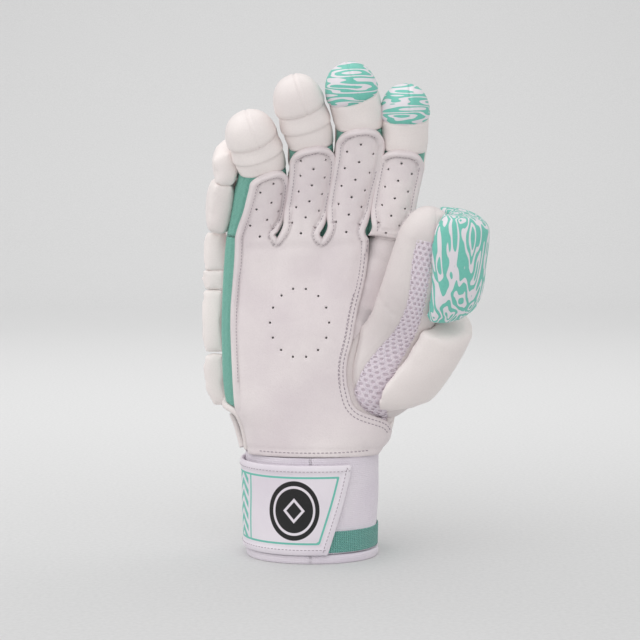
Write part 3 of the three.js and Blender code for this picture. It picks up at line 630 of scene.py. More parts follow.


# Soft leather: fine pores, long shallow creases, a slight change of tone, and patches of darker colour along its open
# edges.
def leather(name, edges=True):
    values = leatherValues[name]
    made = Finish("leather_" + name, values["roughness"], coat=0.04)
    tone = made.ramp(made.noise(22, 4), 0.35, 0.68)
    colour = made.mix(tone, linear(*values["light"]), linear(*values["dark"]))
    pores = made.cells(1300, feature="SMOOTH_F1")
    colour = made.mix(made.ramp(pores, 0.55, 0.1) * 0.06, colour, linear(176, 164, 166))
    if edges:
        # Darker in patches within about a millimetre of the open edges.
        edgeDarkening = made.ramp(made.number("reach"), 1.1, 0.2) * made.ramp(made.noise(160, 3), 0.3, 0.75)
        colour = made.mix(edgeDarkening * 0.35, colour, linear(190, 178, 180))
    made.colour(colour)
    creases = made.noise(130, 5)
    made.roughness(values["roughness"] + (made.noise(60, 3) - 0.5) * 0.16)
    made.bumps(pores * 0.5 + creases * 1.6 + made.noise(480, 3) * 0.4, values["grain"] * 2.2, 0.8)
    return made.material


clothValues = {
    # The darker teal is painted shade for the grooves between the knit's ribs.
    "teal": (130, 190, 175), "tealGrooveShade": (88, 152, 138),
    "print": (120, 202, 186), "ink": (112, 196, 180), "printWhite": (232, 226, 232),
    # The darker knit colour is painted shade for the dips between the cuff knit's wales.
    "knit": (240, 233, 240), "knitGrooveShade": (216, 206, 217),
    "mesh": (238, 227, 233), "liner": (232, 219, 227),
}


def tint(name):
    return linear(*clothValues[name])


# Ribbed stretch knit. The ribs are in the mesh, and the small loops of the knit lie along them. The grooves between the
# ribs are painted darker teal, as shade.
def ribbedKnit():
    made = Finish("ribbed_knit", 0.85, sheen=0.25)
    u, v = made.across()
    rib = made.number("rib")
    loops = ((v * 7000 + (u * 5200).sine() * 0.9).sine() + 1) * 0.5
    fuzz = made.noise(900, 4)
    # Painted shade: darker teal in the grooves between the ribs, where the rib number is low.
    colour = made.mix(made.ramp(rib, 0.05, 0.75), tint("tealGrooveShade"), tint("teal"))
    colour = made.mix(loops * 0.22, colour, linear(70, 146, 128))
    colour = made.mix(made.ramp(fuzz, 0.5, 0.8) * 0.25, colour, linear(160, 214, 200))
    made.colour(colour)
    made.bumps(loops * 0.6 + fuzz * 0.8, 0.00022, 0.9)
    return made.material


# Woven elastic: short teal blocks in staggered rows, flecked with a lighter yarn.
def wovenBand():
    made = Finish("woven_band", 0.8, sheen=0.2)
    u, v = made.across()
    row = (v * 6200).sine()
    weave = (u * 5200 + row * 1.4).sine()
    fleck = made.noise(1500, 2)
    colour = made.mix(made.ramp(weave + row * 0.5, -1.0, 1.1), linear(92, 158, 148), linear(132, 208, 196))
    colour = made.mix(made.ramp(fleck, 0.55, 0.72) * 0.6, colour, linear(168, 226, 214))
    made.colour(colour)
    made.bumps(weave + row * 0.8 + fleck, 0.0003, 0.9)
    return made.material


# White cloth of the cuff: a close knit with a lilac cast, painted darker in the dips between its wales as shade.
def cuffKnit():
    made = Finish("cuff_knit", 0.86, sheen=0.3)
    u, v = made.across()
    wale = (u * 4600).sine().size()
    course = ((v * 5400 + wale * 0.8).sine() + 1) * 0.5
    tone = made.noise(30, 3)
    colour = made.mix(made.ramp(tone, 0.35, 0.7), tint("knit"), linear(230, 221, 232))
    # Painted shade in the dips between the wales; the course term adds a faint pattern.
    colour = made.mix((1 - wale) * 0.3 + course * 0.12, colour, tint("knitGrooveShade"))
    made.colour(colour)
    made.bumps(wale * 0.8 + course * 0.5 + made.noise(1400, 2) * 0.6, 0.00016, 0.8)
    return made.material


def airMesh():
    made = Finish("air_mesh", 0.82, sheen=0.2)
    yarn = made.noise(1800, 3)
    colour = made.mix(made.ramp(yarn, 0.35, 0.7), tint("mesh"), linear(208, 196, 210))
    made.colour(colour)
    made.bumps(yarn, 0.00016, 0.8)
    return made.material


def liner():
    made = Finish("mesh_liner", 0.9)
    weave = made.noise(2200, 2)
    made.colour(made.mix(made.ramp(weave, 0.35, 0.7), tint("liner"), linear(218, 204, 214)))
    made.bumps(weave, 0.0002, 0.8)
    return made.material


def threadFinish():
    made = Finish("sewing_thread", 0.6, sheen=0.2)
    twist = made.noise(2600, 2)
    made.colour(made.mix(made.ramp(twist, 0.35, 0.7), linear(180, 168, 176), linear(142, 130, 140)))
    made.bumps(twist, 0.0001, 0.6)
    return made.material


# Printed leather: white lines run between teal bands like the contours of low hills.
printValues = {
    "tips": {"stretch": (0.42, 0.42, 3.0), "scale": 64.0, "lines": 3.2, "white": 0.46},
    "thumb": {"stretch": (3.0, 3.0, 0.34), "scale": 50.0, "lines": 3.0, "white": 0.44},
}


def printedLeather(name):
    values = printValues[name]
    made = Finish("print_" + name, 0.42, coat=0.06)
    laid = made.node("ShaderNodeMapping", {}, {"Vector": made.places, "Scale": values["stretch"]})
    hills = made.noise(values["scale"], 1.2, laid, noise_dimensions="3D")
    ridges = (hills * values["lines"] * 2 + made.noise(values["scale"] * 2.4, 0.0, laid) * 0.7).fraction()
    lines = made.ramp((ridges - 0.5).size(), values["white"] * 0.5, values["white"] * 0.5 - 0.03)
    fibre = made.noise(900, 3)
    teal = made.mix(made.ramp(fibre, 0.3, 0.75), tint("ink"), tint("print"))
    made.colour(made.mix(lines, teal, tint("printWhite")))
    made.bumps(made.cells(1300, feature="SMOOTH_F1") * 0.6 + fibre * 0.5 - lines * 0.5, 0.00012, 0.7)
    return made.material


# Strap: smooth white with a teal line round it, a teal line across it and a row of slanted bars at its side.
strapPrint = {
    "inset": 5.6, "line": 1.15, "barPitch": 7.0, "bars": (-15, -1.8),
    "badge": {"across": 28.5, "up": 31.5, "wide": 14.5, "tall": 17.5, "ring": 0.62, "diamond": 0.36},
}


def strapFinish():
    made = Finish("strap_face", 0.5, coat=0.04)
    u, v = made.across()
    edge = made.number("reach")
    tone = made.noise(26, 3)
    colour = made.mix(made.ramp(tone, 0.35, 0.7), linear(236, 229, 236), linear(224, 215, 225))
    inside = made.ramp(edge, strapPrint["inset"], strapPrint["inset"] + 0.12)
    past = strapPrint["inset"] + strapPrint["line"]
    frameLine = inside - made.ramp(edge, past, past + 0.12)
    fromMiddle = (u * 1000 - 0.5 * strapPrint["line"]).size()
    across = made.ramp(fromMiddle, strapPrint["line"] * 0.55, strapPrint["line"] * 0.45)
    first, last = strapPrint["bars"]
    beside = made.ramp(u * 1000, last, last - 0.1) * made.ramp(u * 1000, first, first + 0.1)
    slant = ((v * 1000 + (u * 1000 + 8).size() * 1.1) / strapPrint["barPitch"]).fraction()
    bars = made.ramp((slant - 0.5).size(), 0.28, 0.26) * beside
    printed = made.ramp((bars + across) * inside + frameLine, 0.3, 0.7)
    colour = made.mix(printed, colour, tint("ink"))
    # A plain black patch of ink: a ring round a diamond.
    badge = strapPrint["badge"]
    x, y = u * 1000 - badge["across"], v * 1000 - badge["up"]
    oval = (x * x) / badge["wide"] ** 2 + (y * y) / badge["tall"] ** 2
    diamond = x.size() / badge["wide"] + y.size() / badge["tall"]
    ring = made.ramp((oval - badge["ring"]).size(), 0.075, 0.06)
    heart = made.ramp((diamond - badge["diamond"]).size(), 0.07, 0.055)
    ink = made.ramp(oval, 1.0, 0.975) * (1 - ring) * (1 - heart)
    colour = made.mix(ink, colour, linear(16, 15, 17))
    made.colour(colour)
    fine = made.cells(1500, feature="SMOOTH_F1")
    made.bumps(fine * 0.5 + made.noise(220, 4) * 0.8 - printed * 0.4, 0.00012, 0.7)
    return made.material


finishes = {
    # The thumb's finish is the darker copy of the leather: painted shade on the thumb's front and back.
    "palm": leather("palm"), "pads": leather("pads", edges=False), "thumb": leather("thumb"),
    "cap": leather("pads"), "knit": ribbedKnit(), "band": wovenBand(), "cuff": cuffKnit(), "mesh": airMesh(),
    "liner": liner(), "thread": threadFinish(), "tips": printedLeather("tips"),
    "thumbPrint": printedLeather("thumb"), "strap": strapFinish(),
}
print("finishes made")

# Palm leather: a rolled rim runs round each finger's strip and down the side, and round holes let the hand breathe.
palmValues = {
    "cells": 26, "rim": 3.2, "rimHeight": 1.9, "groove": 0.9, "holeWidth": 1.25,
    "seams": (1.6, 4.2), "footSeam": 0.022, "foot": 4.2, "dimple": 0.25,
    "spots": {"little": 7, "ring": 10, "middle": 11, "index": 9},
    "oval": {"holes": 14, "width": 34, "height": 40, "above": 77, "across": -6},
}
palmSurface = splitSurface(
    palmMembers,
    lambda u, rise: handFront(lerp(palmEdge("left", rise), palmEdge("right", rise), u), rise),
    tonguePoint,
)


def tongueRows(name):
    crease = fingers[name]["crease"]
    straight = crease - tongueEnd
    count = round(straight * fingers[name]["length"] / 1.1)
    rows = steps(count, 0, straight)[1:]
    return rows + [straight + tongueEnd * math.sin(math.pi / 2 * s) * 0.995 for s in steps(14)[1:]]


# A rim's height at a distance from the edge: a round roll, then a narrow groove.
def rimHeight(reach):
    width = palmValues["rim"]
    if reach < width:
        t = reach / width
        return palmValues["rimHeight"] * math.sqrt(max(0, 1 - (2 * t - 1) ** 2)) ** 0.8
    return -palmValues["groove"] * math.exp(-(((reach - width - 0.35) / 0.4) ** 2))


# The leather dips a little round each hole.
def dimpleAt(place, near):
    return palmValues["dimple"] * math.exp(-((near.find(place)[2] - outerLayer - wall) / 0.8) ** 2)


def holeTool(name, spots, tree, width):
    vertices, faces, ring = [], [], 10
    for spot in spots:
        place, normal, _, _ = tree.find_nearest(spot)
        side = normal.orthogonal().normalized()
        other = normal.cross(side)
        start = len(vertices)
        for height in (-4, 4):
            for n in range(ring):
                turn = 2 * math.pi * n / ring
                out = side * math.cos(turn) + other * math.sin(turn)
                vertices.append(place + normal * height + out * width / 2)
        for n in range(ring):
            after = start + (n + 1) % ring
            faces.append((start + n, after, ring + after, start + ring + n))
        faces.append(tuple(start + n for n in range(ring))[::-1])
        faces.append(tuple(start + ring + n for n in range(ring)))
    return newObject(name, vertices, faces)


def punch(piece, spots, width):
    tool = holeTool("punch", spots, surfaceTree(piece), width)
    applied(piece, "BOOLEAN", operation="DIFFERENCE", object=tool, solver="MANIFOLD")
    bpy.data.objects.remove(tool)
    piece.data.shade_smooth()


# Staggered rows up a finger, about as many as the finger's length takes.
def tongueSpots(name):
    crease, length = fingers[name]["crease"], fingers[name]["length"]
    count = palmValues["spots"][name]
    spots = []
    for k in range(count):
        along = lerp(0.07, 0.86, k / (count - 1)) * crease
        for share in ((0.5,) if k % 2 == 0 else (0.27, 0.73)):
            level = min(along, crease - tongueEnd * 0.9)
            spots.append(fingerPoint(name, tongueAngle(name, level, share), along, outerLayer + wall))
    return spots


def ovalSpots():
    oval = palmValues["oval"]
    spots = []
    for k in range(oval["holes"]):
        turn = 2 * math.pi * (k + 0.5) / oval["holes"]
        rise = (oval["above"] + oval["height"] / 2 * math.cos(turn)) / palmHeight
        spot = handFront(oval["across"] + oval["width"] / 2 * math.sin(turn), rise)
        spots.append(spot - Vector((0, outerLayer + wall, 0)))
    return spots


def spotTree(spots):
    tree = kdtree.KDTree(len(spots))
    for k, spot in enumerate(spots):
        tree.insert(spot, k)
    tree.balance()
    return tree


def makePalm():
    handRows = steps(104, 0.004, 1)
    points, faces = splitSheet(palmMembers, handRows, palmSurface, tongueRows, tonguePoint, palmValues["cells"])
    spots = ovalSpots() + [spot for name in palmMembers for spot in tongueSpots(name)]
    near = spotTree(spots)
    knuckles = cuffHeight + palmHeight

    def relief(i, reach):
        p = points[i]
        rise = (p.z - cuffHeight) / palmHeight
        weight = ease(rise, 0.1, 0.3) if p.x < -36 else ease(rise, 0.9, 0.97)
        foot = 0.5 * math.exp(-(((rise * palmHeight - palmValues["foot"]) / 0.9) ** 2))
        soft = 0.5 * math.sin(p.x * 0.13 + 1.2) * math.sin(p.z * 0.06 + p.x * 0.02) * ease(reach, 3, 10)
        crease = -0.5 * math.exp(-(((p.z - knuckles + 4 - 0.04 * p.x) / 3) ** 2)) * ease(reach, 3, 8)
        return weight * rimHeight(reach) - foot - dimpleAt(p, near) + soft + crease

    made = shell("palm_leather", points, faces, outerLayer, outerLayer + wall, relief, bulge=0.6)
    piece, outer, normals, edges, outward, reach = made
    tree = surfaceTree(piece)
    lines = []
    for inset, top in zip(palmValues["seams"], (knuckles + 4, cuffHeight + 95)):
        thumbSide = lambda p: p[0] > 15 and cuffHeight + 14 < p[2] < top
        lines += insetLines(outer, edges, outward, inset, thumbSide)
    proud = Vector((0, outerLayer + wall, 0))
    lines.append([handFront(x, palmValues["footSeam"]) - proud for x in steps(60, -31, 36)])
    fingerSide = lambda p: p[2] > cuffHeight + 40 and p[0] < 40
    rims = insetLines(outer, edges, outward, palmValues["rim"] + 0.35, fingerSide)
    sewing = threads("palm_stitches", lines, tree)
    fine = threads("palm_rim_stitches", rims, tree, rimStitches)
    punch(piece, spots, palmValues["holeWidth"])
    wear(piece, finishes["palm"], "palm", "palm")
    wear(sewing, finishes["thread"], "palm")
    wear(fine, finishes["thread"], "palm")


def makeIndexFront():
    rows = [0.02, *tongueRows("index")]
    columns = steps(palmValues["cells"])
    points = [tonguePoint("index", along, share) for along in rows for share in columns]
    faces = gridFaces(len(rows) - 1, palmValues["cells"])
    spots = tongueSpots("index")
    near = spotTree(spots)
    foot = cuffHeight + palmHeight + 5

    def relief(i, reach):
        p = points[i]
        weight = ease(p.z, foot - 3, foot + 3)
        return weight * rimHeight(reach) - dimpleAt(p, near)

    piece, outer, normals, edges, outward, reach = shell(
        "index_leather", points, faces, outerLayer, outerLayer + wall, relief, bulge=0.6)
    tree = surfaceTree(piece)
    seam = [tonguePoint("index", 0.05, s) for s in steps(30, 0.05, 0.95)]
    rims = insetLines(outer, edges, outward, palmValues["rim"] + 0.35, lambda p: p[2] > foot)
    sewing = threads("index_stitches", [seam], tree)
    fine = threads("index_rim_stitches", rims, tree, rimStitches)
    punch(piece, spots, palmValues["holeWidth"])
    wear(piece, finishes["palm"], "palm", "index_front")
    wear(sewing, finishes["thread"], "palm")
    wear(fine, finishes["thread"], "palm")


makePalm()
makeIndexFront()
print("palm and index leather made")

# Back wall under the pads. ventFeet are the heights of the slit's top in front and behind.
backEdge, ventFeet = 103, (0.215, 0.25)
backEdges = {
    "at": (0.004, 0.08, 0.14, 0.19, 0.34, 0.56, 0.7, 0.85, 1),
    "thumb": (76, 74, 74, 122, 134, 132, 103, 103, 103),
    "side": (278, 271, 265, 257, 257, 257, 257, 257, 257),
}
backMembers = ["index", "middle", "ring", "little"]


def backStrip(name, along, share):
    return fingerPoint(name, lerp(backEdge, 360 - backEdge, share), along)


def backHand(u, rise):
    return handPoint(lerp(column(backEdges, "thumb", rise), column(backEdges, "side", rise), u), rise)


def makeBack():
    surface = splitSurface(backMembers, backHand, backStrip)
    rows = lambda name: steps(30, 0, fingers[name]["cap"] * 0.95)[1:]
    points, faces = splitSheet(backMembers, steps(60, 0.004, 1), surface, rows, backStrip, 12)
    piece, *_ = shell("back_leather", points, faces, 0, wall, lambda i, reach: 0.15 * math.sin(points[i].x * 0.9))
    wear(piece, finishes["cap"], "pad_leather", "back_panel")


# Gussets: ribbed knit between the fingers, up the outer fingers and down the little finger's side.
gussetValues = {"pitch": 0.92, "height": 0.42, "tuck": 9, "top": 0.03, "fold": 0.6, "pressed": (0.1, 0.24)}
gussetBack = backEdge - 4


def gussetAngle(name, along, side, share):
    front = tongueAngle(name, along, 1 if side > 0 else 0) - side * gussetValues["tuck"]
    return lerp(front, side * gussetBack, share)


def gussetPoint(name, along, side, share):
    return fingerPoint(name, gussetAngle(name, along, side, share), along)


# Low down between two fingers the knit of both is pressed together, so no light comes through.
def pressed(name, other, along, side, share):
    own, near = gussetPoint(name, along, side, share), gussetPoint(other, along, -side, share)
    weight = 0.96 * math.sin(math.pi * share) ** 0.4 * (1 - ease(along, *gussetValues["pressed"]))
    return own.lerp((own + near) / 2, weight)


def gussetTop(name):
    return fingers[name]["crease"] - gussetValues["top"]


# Ribs run up the strip. rows gives the points of each row, all of the same count.
def ribbedShell(name, rows, nodes, flip):
    columns = len(rows[0]) - 1
    middle = columns // 2
    width = sum((row[-1] - row[0]).length for row in rows) / len(rows) * 1.08
    climbed = [0]
    for a, b in zip(rows, rows[1:]):
        climbed.append(climbed[-1] + (b[middle] - a[middle]).length)
    laid = [(j / columns * width * 0.001, climbed[i] * 0.001) for i in range(len(rows)) for j in range(columns + 1)]
    count = max(3, round(width / gussetValues["pitch"]))
    ribs = [abs(math.sin(math.pi * count * (k % (columns + 1)) / columns)) ** 0.7 for k in range(len(laid))]
    points = [p for row in rows for p in row]
    faces = gridFaces(len(rows) - 1, columns, flip=flip)
    relief = lambda i, reach: gussetValues["height"] * (ribs[i] - 0.5)
    piece, *_ = shell(name, points, faces, 0.1, wall - 0.15, relief, laid=laid)
    # The rib number is 1 on the ribs and 0 in the grooves of the outer face; the knit's finish paints the grooves
    # darker as shade.
    rib = np.ones(len(piece.data.vertices)) * 0.4
    rib[: len(ribs)] = ribs
    addNumbers(piece, "rib", rib)
    wear(piece, finishes["knit"], "gusset", *nodes)
    cutSheet(piece, rows)


def makeGussets():
    for left, right in (("little", "ring"), ("ring", "middle"), ("middle", "index")):
        columns = steps(64)
        down = [[pressed(left, right, a, 1, s) for s in columns] for a in steps(34, 0.03, gussetTop(left))][::-1]
        up = [[pressed(right, left, a, -1, s) for s in columns] for a in steps(34, 0.03, gussetTop(right))]
        dip = lambda t: Vector((0, 0, gussetValues["fold"] * math.sin(math.pi * t)))
        blend = [[a.lerp(b, t) - dip(t) for a, b in zip(down[-1], up[0])] for t in (0.25, 0.5, 0.75)]
        ribbedShell(f"{left}_{right}_knit", down + blend + up, [f"gusset_{left}_{right}"], True)
    columns = steps(84)

    def handRowAt(share):
        row = []
        for s in columns:
            rise = lerp(lerp(*ventFeet, s), 1, share)
            front = handAngleAt(palmEdge("left", rise) + lap, rise)
            spot = handPoint(lerp(front, -gussetBack, s), rise)
            row.append(spot.lerp(gussetPoint("little", 0, -1, s), ease(rise, 0.55, 1)))
        return row

    rows = [handRowAt(share) for share in steps(60, 0, 0.985)]
    for along in steps(34, 0.02, gussetTop("little")):
        rows.append([gussetPoint("little", along, -1, s) for s in columns])
    ribbedShell("side_knit", rows, ["gusset_little_side"], True)
    rows = [[gussetPoint("index", a, 1, s) for s in steps(64)] for a in steps(30, 0.112, gussetTop("index"))]
    ribbedShell("index_knit", rows, ["gusset_index_side"], False)


# Web leather below the index finger: from the palm's seam, behind the thumb and under the back leather's edge.
webValues = {"columns": 48, "lap": 3, "under": wall + 0.35, "rises": (0.36, 0.99), "inThumb": 62}


def makeWeb():
    v = webValues

    def fingerRow(along):
        return [fingerPoint("index", lerp(-88, gussetBack, s), along) for s in steps(v["columns"])]

    rows = []
    top = fingerRow(0)
    for rise in steps(52, *v["rises"]):
        front = handAngleAt(palmEdge("right", rise) - 2 * lap, rise)
        front = lerp(max(front, v["inThumb"]), front, ease(rise, 0.5, 0.56))
        edge = column(backEdges, "thumb", rise)
        row = []
        for s in steps(v["columns"]):
            angle = lerp(front, edge + v["lap"], s)
            row.append(handPoint(angle, rise, -v["under"] * ease(angle, edge - 9, edge - 5)))
        rows.append([a.lerp(b, ease(rise, 0.55, 1)) for a, b in zip(row, top)])
    rows += [fingerRow(a) for a in (0.03, 0.055, 0.08, 0.1)]
    points = [p for row in rows for p in row]
    ripple = lambda i, reach: 0.25 * math.sin(points[i].z * 0.5 + points[i].x * 0.3)
    piece, *_ = shell("web_leather", points, gridFaces(len(rows) - 1, v["columns"]), 0, wall, ripple)
    wear(piece, finishes["palm"], "palm", "web_panel")


# White bands round the front of each fingertip, below the tip pad. folds are the heights of the folded edges.
capValues = {
    "little": {"folds": (0.5,), "proud": 1.5}, "ring": {"folds": (0.52,), "proud": 1.5},
    "middle": {"folds": (), "proud": 1.5}, "index": {"folds": (), "proud": 1.4}, "over": 1.1,
}


def makeCap(name):
    finger, values = fingers[name], capValues[name]
    start = gussetTop(name) + 0.012
    rows, columns = steps(30), steps(64, -gussetBack, gussetBack)
    stop = finger["cap"] + capValues["over"] / finger["length"]
    points = [fingerPoint(name, angle, lerp(start, stop, r)) for r in rows for angle in columns]
    width = len(columns)

    def relief(i, reach):
        r = rows[i // width]
        height = values["proud"] * ease(reach, -1.6, 0.9) * (0.55 + 0.45 * ease(r, 0, 0.35))
        for fold in values["folds"]:
            height += 0.9 * ease(r, fold - 0.015, fold + 0.03) * (1 - ease(r, fold + 0.1, fold + 0.45)) - 0.3
        ripple = 0.16 * math.sin(columns[i % width] * 0.09 + r * 5)
        return height + ripple

    piece, *_ = shell(f"{name}_band", points, gridFaces(len(rows) - 1, width - 1), 0, wall, relief, bulge=0.7)
    wear(piece, finishes["cap"], "pad_leather", f"{name}_cap")


makeBack()
makeGussets()
makeWeb()
for name in fingers:
    makeCap(name)
print("back, gussets and caps made")

# Thumb. front, mesh and pad are the angles where its leather, its mesh and its back wall start.
thumbWidth, thumbDepth, thumbHeight, thumbSpread, thumbReach = 33, 31, 119, 31, 29
thumbRoot = {"across": 38, "rise": 22, "reach": 2}
thumbTable = {
    "at": (0, 0.18, 0.4, 0.62, 0.83, 1), "across": (0, 0.17, 0.4, 0.62, 0.82, 1),
    "rise": (0, 0.18, 0.4, 0.61, 0.83, 1.01), "reach": (0, 0.14, 0.45, 0.93, 1.12, 1.26),
    "wide": (0.6, 0.66, 0.58, 0.53, 0.47, 0.4), "deep": (0.5, 0.53, 0.46, 0.43, 0.43, 0.4),
    "front": (-70, -75, -85, -95, -98, -98), "mesh": (-34, -34, -20, -5, -17, -17),
    "pad": (14, 4, 14, 20, 14, 7),
}
thumbOpen, thumbSeat = 0.5, 5  # up to where the wall is open to the hand, and how far it seats from the back leather


@lru_cache(maxsize=None)
def thumbSection(along):
    def spine(t):
        return Vector((
            thumbRoot["across"] + column(thumbTable, "across", t) * thumbSpread,
            -thumbRoot["reach"] - column(thumbTable, "reach", t) * thumbReach,
            cuffHeight + thumbRoot["rise"] + column(thumbTable, "rise", t) * thumbHeight,
        ))

    wide, deep = column(thumbTable, "wide", along) * thumbWidth, column(thumbTable, "deep", along) * thumbDepth
    return (*sectionOf(spine, along, 0), wide, deep)


def thumbTube(angle, along, offset=0):
    origin, side, front, scale, wide, deep = thumbSection(along)
    across, forward = rounded(angle, (wide - wall + offset) * scale, (deep - wall + offset) * scale, 2.3)
    return origin + side * across + front * forward


def openTo(along):
    return lerp(165, 250, ease(along, 0, thumbOpen))


def underSeam(rise):
    return palmSurface(1 - lap / (palmEdge("right", rise) - palmEdge("left", rise)), rise)


def thumbPoint(angle, along):
    tube = thumbTube(angle, along)
    merge = 1 - ease(along, thumbOpen * 0.45, thumbOpen)
    if merge <= 0:
        return tube
    rise = lerp(thumbRoot["rise"], tube.z - cuffHeight, ease(along, 0, 0.1)) / palmHeight
    start, stop = column(thumbTable, "front", along), openTo(along)
    place = (angle - start) / (stop - start)
    near = underSeam(rise)
    far = handPoint(column(backEdges, "thumb", rise) - thumbSeat, rise)

    def towards(anchor, edge, weight):
        return (anchor - thumbTube(edge, along)) * merge * max(0, weight) ** 2

    pulled = tube + towards(near, start, 1 - 1.6 * place) + towards(far, stop, 1.6 * place - 0.6)
    if place < 0.5:
        free = 60 * ease(pulled.x - palmEdge("right", rise), 5, 16)
        pulled.y = max(pulled.y, handFront(pulled.x, rise).y - free)
    seat = lerp(handAngleAt(near.x, rise), column(backEdges, "thumb", rise) - thumbSeat, place)
    return pulled.lerp(handPoint(seat, rise, -lapGap), 1 - ease(along, 0, 0.12))


def thumbColumn(name, along):
    return column(thumbTable, name, along)


thumbRows = steps(90, 0, 0.955) + [0.965, 0.975, 0.983, 0.99, 0.995, 0.999, 0.9998, 0.99998]
thumbValues = {"cross": 0.575, "meshPitch": 2.9, "meshAcross": 4, "meshTop": 0.885, "meshTuck": 3, "proud": 0.75}
meshRows = [along for along in thumbRows if along <= thumbValues["meshTop"]]
rootRows = [-0.06, -0.04, -0.02]  # below its root the thumb's wall goes on under the palm's edge


def rootPoint(angle, along):
    if along >= 0:
        return thumbPoint(angle, along)
    rise = thumbRoot["rise"] / palmHeight
    start = thumbColumn("front", 0)
    place = (angle - start) / (openTo(0) - start)
    seat = lerp(handAngleAt(underSeam(rise).x, rise), column(backEdges, "thumb", rise) - thumbSeat, place)
    return handPoint(seat, rise + along * thumbHeight / palmHeight, -lapGap)


def thumbStrip(name, count, start, stop, relief, nodes, finish, slot, rows=thumbRows, low=0, high=wall):
    rows = rootRows + rows
    points = [rootPoint(lerp(start(a), stop(a), s), a) for a in rows for s in steps(count)]
    made = shell(name, points, gridFaces(len(rows) - 1, count), low, high, relief(rows, count) if relief else None)
    wear(made[0], finish, slot, *nodes)
    return made


def makeThumb():
    gap = lambda along: lerp(4, 2.5, ease(along, 0, 0.25))
    top = thumbValues["meshTop"]

    def frontEnd(along):
        return lerp(thumbColumn("mesh", along) - gap(along), thumbColumn("pad", along), ease(along, top - 0.02, top))

    def close(along):
        return lerp(openTo(along), 360 + thumbColumn("front", along) - gap(along), ease(along, 0.44, 0.56))

    # The front has a cross seam, and the wall swells a little between its seams.
    def frontRelief(rows, count):
        def relief(i, reach):
            along = rows[i // (count + 1)]
            share = (i % (count + 1)) / count
            fromSeam = along - thumbValues["cross"] + (share - 0.5) * 0.04
            seam = 0.55 * math.exp(-((fromSeam / 0.006) ** 2))
            return 0.45 * ease(reach, 0, 3.5) - seam
        return relief

    front = thumbStrip("thumb_leather", 30, lambda a: thumbColumn("front", a), frontEnd,
                       frontRelief, ["thumb_front"], finishes["thumb"], "palm")
    tree = surfaceTree(front[0])
    at = thumbValues["cross"]
    cross = [thumbPoint(lerp(thumbColumn("front", at), thumbColumn("mesh", at), s), at - (s - 0.5) * 0.04 - 0.014)
             for s in steps(20, 0.1, 0.95)]
    side = [thumbPoint(frontEnd(a) - 4, a) for a in steps(80, 0.12, 0.86)]
    wear(threads("thumb_stitches", [cross, side], tree), finishes["thread"], "palm")
    thumbStrip("thumb_back_leather", 60, lambda a: thumbColumn("pad", a) + gap(a), close, None,
               ["thumb_back"], finishes["thumb"], "pad_leather")
    lining, *_ = thumbStrip("thumb_lining", 14, lambda a: thumbColumn("mesh", a), lambda a: thumbColumn("pad", a), None,
                            [], finishes["liner"], "mesh", meshRows, 0, 0.7)
    cutSheet(lining, stripRows(4))


def meshPoint(share, along, tuck=0):
    return thumbPoint(lerp(thumbColumn("mesh", along) - tuck, thumbColumn("pad", along) + tuck, share), along)


# Lines across the mesh strip, all the way up it
def stripRows(count):
    return [[meshPoint(s, a) for s in steps(count)] for a in meshRows]


# Air mesh: a strip of six-sided cells, each round an oval hole.
def makeThumbMesh():
    across, tuck = thumbValues["meshAcross"], thumbValues["meshTuck"]
    lengthAt = [0]
    line = [thumbPoint((thumbColumn("mesh", a) + thumbColumn("pad", a)) / 2, a) for a in meshRows]
    for a, b in zip(line, line[1:]):
        lengthAt.append(lengthAt[-1] + (b - a).length)
    total = lengthAt[-1]
    count = int(total / thumbValues["meshPitch"])
    alongOf = lambda v: float(np.interp(v, lengthAt, meshRows))
    vertices, faces, keys = [], [], {}

    def corner(u, v):
        u = min(max(u, 0), 1)
        key = (round(u, 4), round(v, 4))
        if key not in keys:
            keys[key] = len(vertices)
            along = alongOf(min(max(v, 0), 1) * total)
            vertices.append(meshPoint(u, along, tuck))
        return keys[key]

    for i in range(count):
        shiftBy = 0.5 if i % 2 else 0.0
        for j in range(-1, across + 1):
            low, high = (j + shiftBy) / across, (j + 1 + shiftBy) / across
            if high <= 0 or low >= 1:
                continue
            whole = low >= -0.01 and high <= 1.01
            low, high = max(low, 0), min(high, 1)
            middle = (low + high) / 2
            v0, v1 = i / count, (i + 1) / count
            half = (v0 + v1) / 2
            ring = [(low, v0), (middle, v0), (high, v0), (high, half), (high, v1), (middle, v1), (low, v1), (low, half)]
            outerRing = [corner(*spot) for spot in ring]
            if not whole:
                faces.append(tuple(outerRing))
                continue
            innerRing = []
            for angle in (225, 270, 315, 0, 45, 90, 135, 180):
                c, s = math.cos(math.radians(angle)), math.sin(math.radians(angle))
                innerRing.append(len(vertices))
                along = alongOf((lerp(v0, v1, 0.5 + 0.29 * s)) * total)
                vertices.append(meshPoint(middle + (high - low) * 0.25 * c, along, tuck))
            for n in range(8):
                o = (n + 1) % 8
                if outerRing[n] != outerRing[o]:
                    faces.append((outerRing[n], outerRing[o], innerRing[o], innerRing[n]))
    places, normals, *_ = readSheet(vertices, [face for face in faces if len(face) == 4])
    lifted = [Vector(p + n * thumbValues["proud"]) for p, n in zip(places, normals)]
    piece = newObject("thumb_air_mesh", lifted, faces)
    applied(piece, "SOLIDIFY", thickness=0.0007, offset=1.0)
    applied(piece, "SUBSURF", levels=1, render_levels=1)
    piece.data.shade_smooth()
    wear(piece, finishes["mesh"], "mesh", "thumb_mesh")
    cutSheet(piece, stripRows(8))


